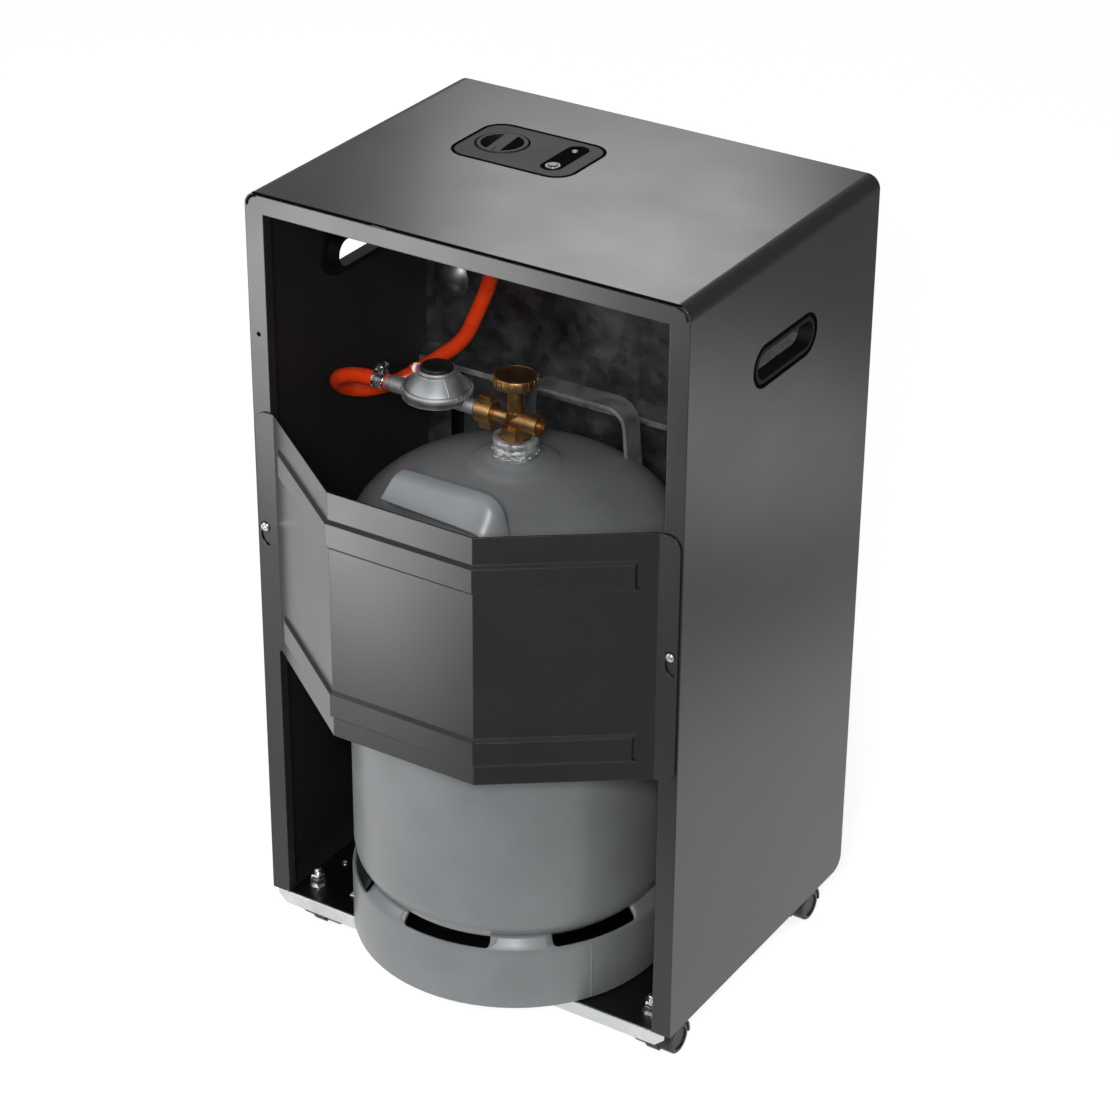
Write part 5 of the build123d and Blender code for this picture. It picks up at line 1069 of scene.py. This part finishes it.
class HEATER_OT_regulator(bpy.types.Operator):
    """Form the regulator's cover with its crimped rim, and its cap"""
    bl_idname = "heater.regulator"
    bl_label = "Regulator"

    def execute(self, context):
        settings = context.scene.heater_valve
        place = placing(REGULATOR_CENTRE)
        cover = [(0, 547.6), (27.8, 547.6), (29.2, 548.2), (30.0, 549.8), (30.0, 551.6),
                 (29.4, 553.2), (28.3, 553.9), (27.6, 553.6), (27.2, 552.4), (26.9, 552.5),
                 (26.5, 553.9), (25.6, 555.3), (23.4, 558.2), (20.8, 561.2), (18.4, 563.8),
                 (17.0, 565.2), (16.3, 566.0), (16.5, 566.8), (16.6, 568.4), (16.0, 569.6),
                 (15.0, 570.0), (14.4, 569.4), (14.2, 568.6), (0, 568.6)]
        turn_piece("regulator_bonnet", cover, "zinc_casting", "regulator_cover", place, 96)
        cap = [(0, 568.6), (13.5, 568.6), (13.8, 569.2), (13.8, 571.4), (13.2, 572.2),
               (12.0, 572.5), (11.4, 572.0), (0, 571.9)]
        turn_piece("regulator_adjuster_cap", cap, "black_plastic", "regulator_cap", place, 72)

        fold = bmesh.new()
        path = [place @ polar(radius, FOLD_ANGLE, height)
                for radius, height in ((16.4, 565.4), (18.4, 563.7), (20.8, 561.1),
                                       (23.4, 558.1), (25.6, 555.2), (26.6, 553.4))]
        add_sweep(fold, path, round_section(0.75, 8), lambda point: polar(1, FOLD_ANGLE))
        seat("regulator_fold", fold, "zinc_casting")

        tab = bmesh.new()
        add_block(tab, (28.4, -1.5, 548.6), (30.4, 1.5, 553.0), 0.35)
        ring_of("regulator_crimps", tab, "zinc_casting", Count=settings.rim_tabs,
                First=math.radians(160), Sweep=math.radians(250), Centre=REGULATOR_CENTRE)
        return {"FINISHED"}


class HEATER_OT_handwheel(bpy.types.Operator):
    """Turn the valve's handwheel, its dark top and the ridges of its grip"""
    bl_idname = "heater.handwheel"
    bl_label = "Handwheel"

    def execute(self, context):
        settings = context.scene.heater_valve
        wheel = [(0, 574.2), (8.0, 574.2), (10, 574.9), (15.5, 575.4), (17.4, 574.6),
                 (18.3, 575.2), (18.6, 576.6), (18.6, 582.8), (18.1, 584.0), (17.3, 584.5),
                 (16.6, 584.2), (16.3, 583.5), (0, 583.4)]
        turn_piece("fluted_handwheel", wheel, "brass", "handwheel", BOTTLE_AXIS, 96,
                   body="valve_wheel")
        top = [(0, 583.3), (16.1, 583.3), (16.3, 584.0), (15.4, 584.6), (8, 584.9), (0, 585.0)]
        turn_piece("handwheel_top", top, "brass", "handwheel_cap", BOTTLE_AXIS, 96,
                   body="valve_wheel", look="tarnished_brass")
        tooth = bmesh.new()
        add_block(tooth, (17.9, -1.25, 575.6), (19.5, 1.25, 583.4), 0.45)
        ring_of("handwheel_ridges", tooth, "brass", "valve_wheel", Count=settings.wheel_teeth,
                Centre=BOTTLE_CENTRE)
        return {"FINISHED"}


# ---------------------------------------------------------------- screws, nuts and the bracket
SHIELD_FACE, LEDGE_FACE = -148.0, -134.0     # Y of the heat shield's rear face and its ledge
TRAY_TOP, NUT_TOP = 45.2, 53.1
GUARD_SCREW_X, GUARD_SCREW_Y, GUARD_SCREW_Z = 201, 110.6, 422
STUD_X, STUD_YS = 178, (-154, 84)


class HEATER_OT_fasteners(bpy.types.Operator):
    """Set the screws, the caster studs' second nuts, the shield's bracket and a pale strip on its ledge
    as a painted highlight
    """
    bl_idname = "heater.fasteners"
    bl_label = "Fasteners"

    def execute(self, context):
        rear, up = (0, 1, 0), (0, 0, 1)
        size = context.scene.heater_trim.screw_size / MM
        guard = [((x, GUARD_SCREW_Y, GUARD_SCREW_Z), rear, size)
                 for x in (-GUARD_SCREW_X, GUARD_SCREW_X)]
        on_places("guard_screw_heads", pan_head(), guard, "guard_screws")
        # x, how far out of the shield, z and head; then x, y and head
        on_shield = [(189.3, 0.1, 572.9, 2.6), (180.7, 0.1, 585, 2.6), (-152, 1.7, 571, 3.6),
                     (-178, 0.1, 601, 2.4)]
        on_tray = [(175.9, 44.8, 3.2), (162.5, 47.8, 2.6), (140.8, 81.4, 3.2),
                   (-127.9, 79.2, 3.2)]
        small = [((x, SHIELD_FACE + y, z), rear, head) for x, y, z, head in on_shield]
        small += [((x, y, TRAY_TOP), up, head) for x, y, head in on_tray]
        on_places("sheet_screws", pan_head(), small)
        studs = [((x, y, NUT_TOP), up, 1.0) for x in (-STUD_X, STUD_X) for y in STUD_YS]
        on_places("stud_nuts", hex_nut(12.6, 5.2, 3.9), studs, spin=0.8)

        bracket = bmesh.new()
        section = [(0, 598), (1.7, 598), (1.7, 553.2), (3, 551.8), (18, 551.8), (18, 550.2),
                   (1.6, 550.2), (0, 551.8)]
        rows = [[Vector((x, SHIELD_FACE + y, z)) * MM for y, z in section] for x in (-171, -131)]
        add_rows(bracket, rows, round_rows=True, caps=True)
        seat("shield_bracket", bracket, "plated_steel")

        # painted highlight: a pale zinc strip along the ledge's lip gives the bright line there
        edge = bmesh.new()
        add_block(edge, (-208, LEDGE_FACE - 0.1, 479.8), (208, LEDGE_FACE + 0.4, 485.4), 0.1)
        seat("ledge_bare_edge", edge, "galvanised_sheet", look="galvanised_casting")
        return {"FINISHED"}


# ---------------------------------------------------------------- gaskets and seams
# All in mm: the cabinet's top and sides, the seam behind the top, the control plate, the
# oval hand-holds.
TOP_LEVEL, SIDE_FACE, REAR_SEAM, SEAM_END = 730.0, 210.0, 107.8, 202
PLATE_HALF_WIDTH, PLATE_HALF_DEPTH, PLATE_CORNER = 57.5, 38, 17
HOLD_HALF_LENGTH, HOLD_HALF_HEIGHT, HOLD_CORNER, HOLD_Y, HOLD_Z = 51.5, 18, 17.9, -47, 633


def gasket_strip(half_width, sunk):
    """Section of a black gasket that stands 0.25 mm proud."""
    return [(-half_width, -sunk), (-half_width, 0.25), (half_width, 0.25), (half_width, -sunk)]


class HEATER_OT_seams(bpy.types.Operator):
    """Lay the black gaskets, and a black strip in the seam behind the folded top edge as a painted
    shadow
    """
    bl_idname = "heater.seams"
    bl_label = "Gaskets and seams"

    def execute(self, context):
        reach = context.scene.heater_trim.gasket_width / MM / 2
        low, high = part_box("control_plate")
        middle = (low + high) / 2
        form = bmesh.new()
        outline = rounded_outline(PLATE_HALF_WIDTH + reach, PLATE_HALF_DEPTH + reach,
                                  PLATE_CORNER + reach)
        path = [Vector((middle.x + x * MM, middle.y + y * MM, TOP_LEVEL * MM))
                for x, y in outline]
        add_sweep(form, path, gasket_strip(reach, 0.4), lambda point: Vector((0, 0, 1)),
                  closed=True)
        # painted shadow: a black strip fills the seam behind the top, where there is only the shadow of
        # the gap
        add_block(form, (-SEAM_END, REAR_SEAM, TOP_LEVEL - 1.4),
                  (SEAM_END, REAR_SEAM + 1.4, TOP_LEVEL + 0.2), 0.1)
        outline = rounded_outline(HOLD_HALF_LENGTH, HOLD_HALF_HEIGHT, HOLD_CORNER, steps=12)
        for side in (-1, 1):
            path = [Vector((side * SIDE_FACE, HOLD_Y + y, HOLD_Z + z)) * MM for y, z in outline]
            add_sweep(form, path, gasket_strip(1.2, 0.5), lambda point: Vector((side, 0, 0)),
                      closed=True)
        seat("black_gaskets", form, "black_plastic", look="seam_black")
        return {"FINISHED"}


# ---------------------------------------------------------------- panel and registration
class HEATER_PT_panel(bpy.types.Panel):
    """Lists the heater's pieces and settings"""
    bl_idname = "HEATER_PT_panel"
    bl_label = "Cabinet heater"
    bl_space_type = "VIEW_3D"
    bl_region_type = "UI"
    bl_category = "Heater"

    def draw(self, context):
        layout = self.layout
        for operator in OPERATORS:
            layout.operator(operator.bl_idname)
        for group in SETTINGS:
            settings = getattr(context.scene, group)
            for name in settings.__annotations__:
                layout.prop(settings, name)


SETTINGS = {"heater_hose": HeaterHoseSettings, "heater_bottle": HeaterBottleSettings,
            "heater_valve": HeaterValveSettings, "heater_trim": HeaterTrimSettings,
            "heater_stage": HeaterStageSettings}
OPERATORS = [HEATER_OT_stage, HEATER_OT_hose, HEATER_OT_finishes, HEATER_OT_bottle,
             HEATER_OT_handle, HEATER_OT_regulator, HEATER_OT_handwheel, HEATER_OT_fasteners,
             HEATER_OT_seams]


def register():
    """Adds the settings, the operators and the panel."""
    for name, group in SETTINGS.items():
        bpy.utils.register_class(group)
        setattr(bpy.types.Scene, name, PointerProperty(type=group))
    for operator in OPERATORS:
        bpy.utils.register_class(operator)
    bpy.utils.register_class(HEATER_PT_panel)


def unregister():
    """Takes them away again."""
    bpy.utils.unregister_class(HEATER_PT_panel)
    for operator in reversed(OPERATORS):
        bpy.utils.unregister_class(operator)
    for name, group in SETTINGS.items():
        delattr(bpy.types.Scene, name)
        bpy.utils.unregister_class(group)


def main():
    """Builds everything once, in order."""
    register()
    for operator in OPERATORS:
        group, action = operator.bl_idname.split(".")
        getattr(getattr(bpy.ops, group), action)()


if __name__ == "__main__":
    main()
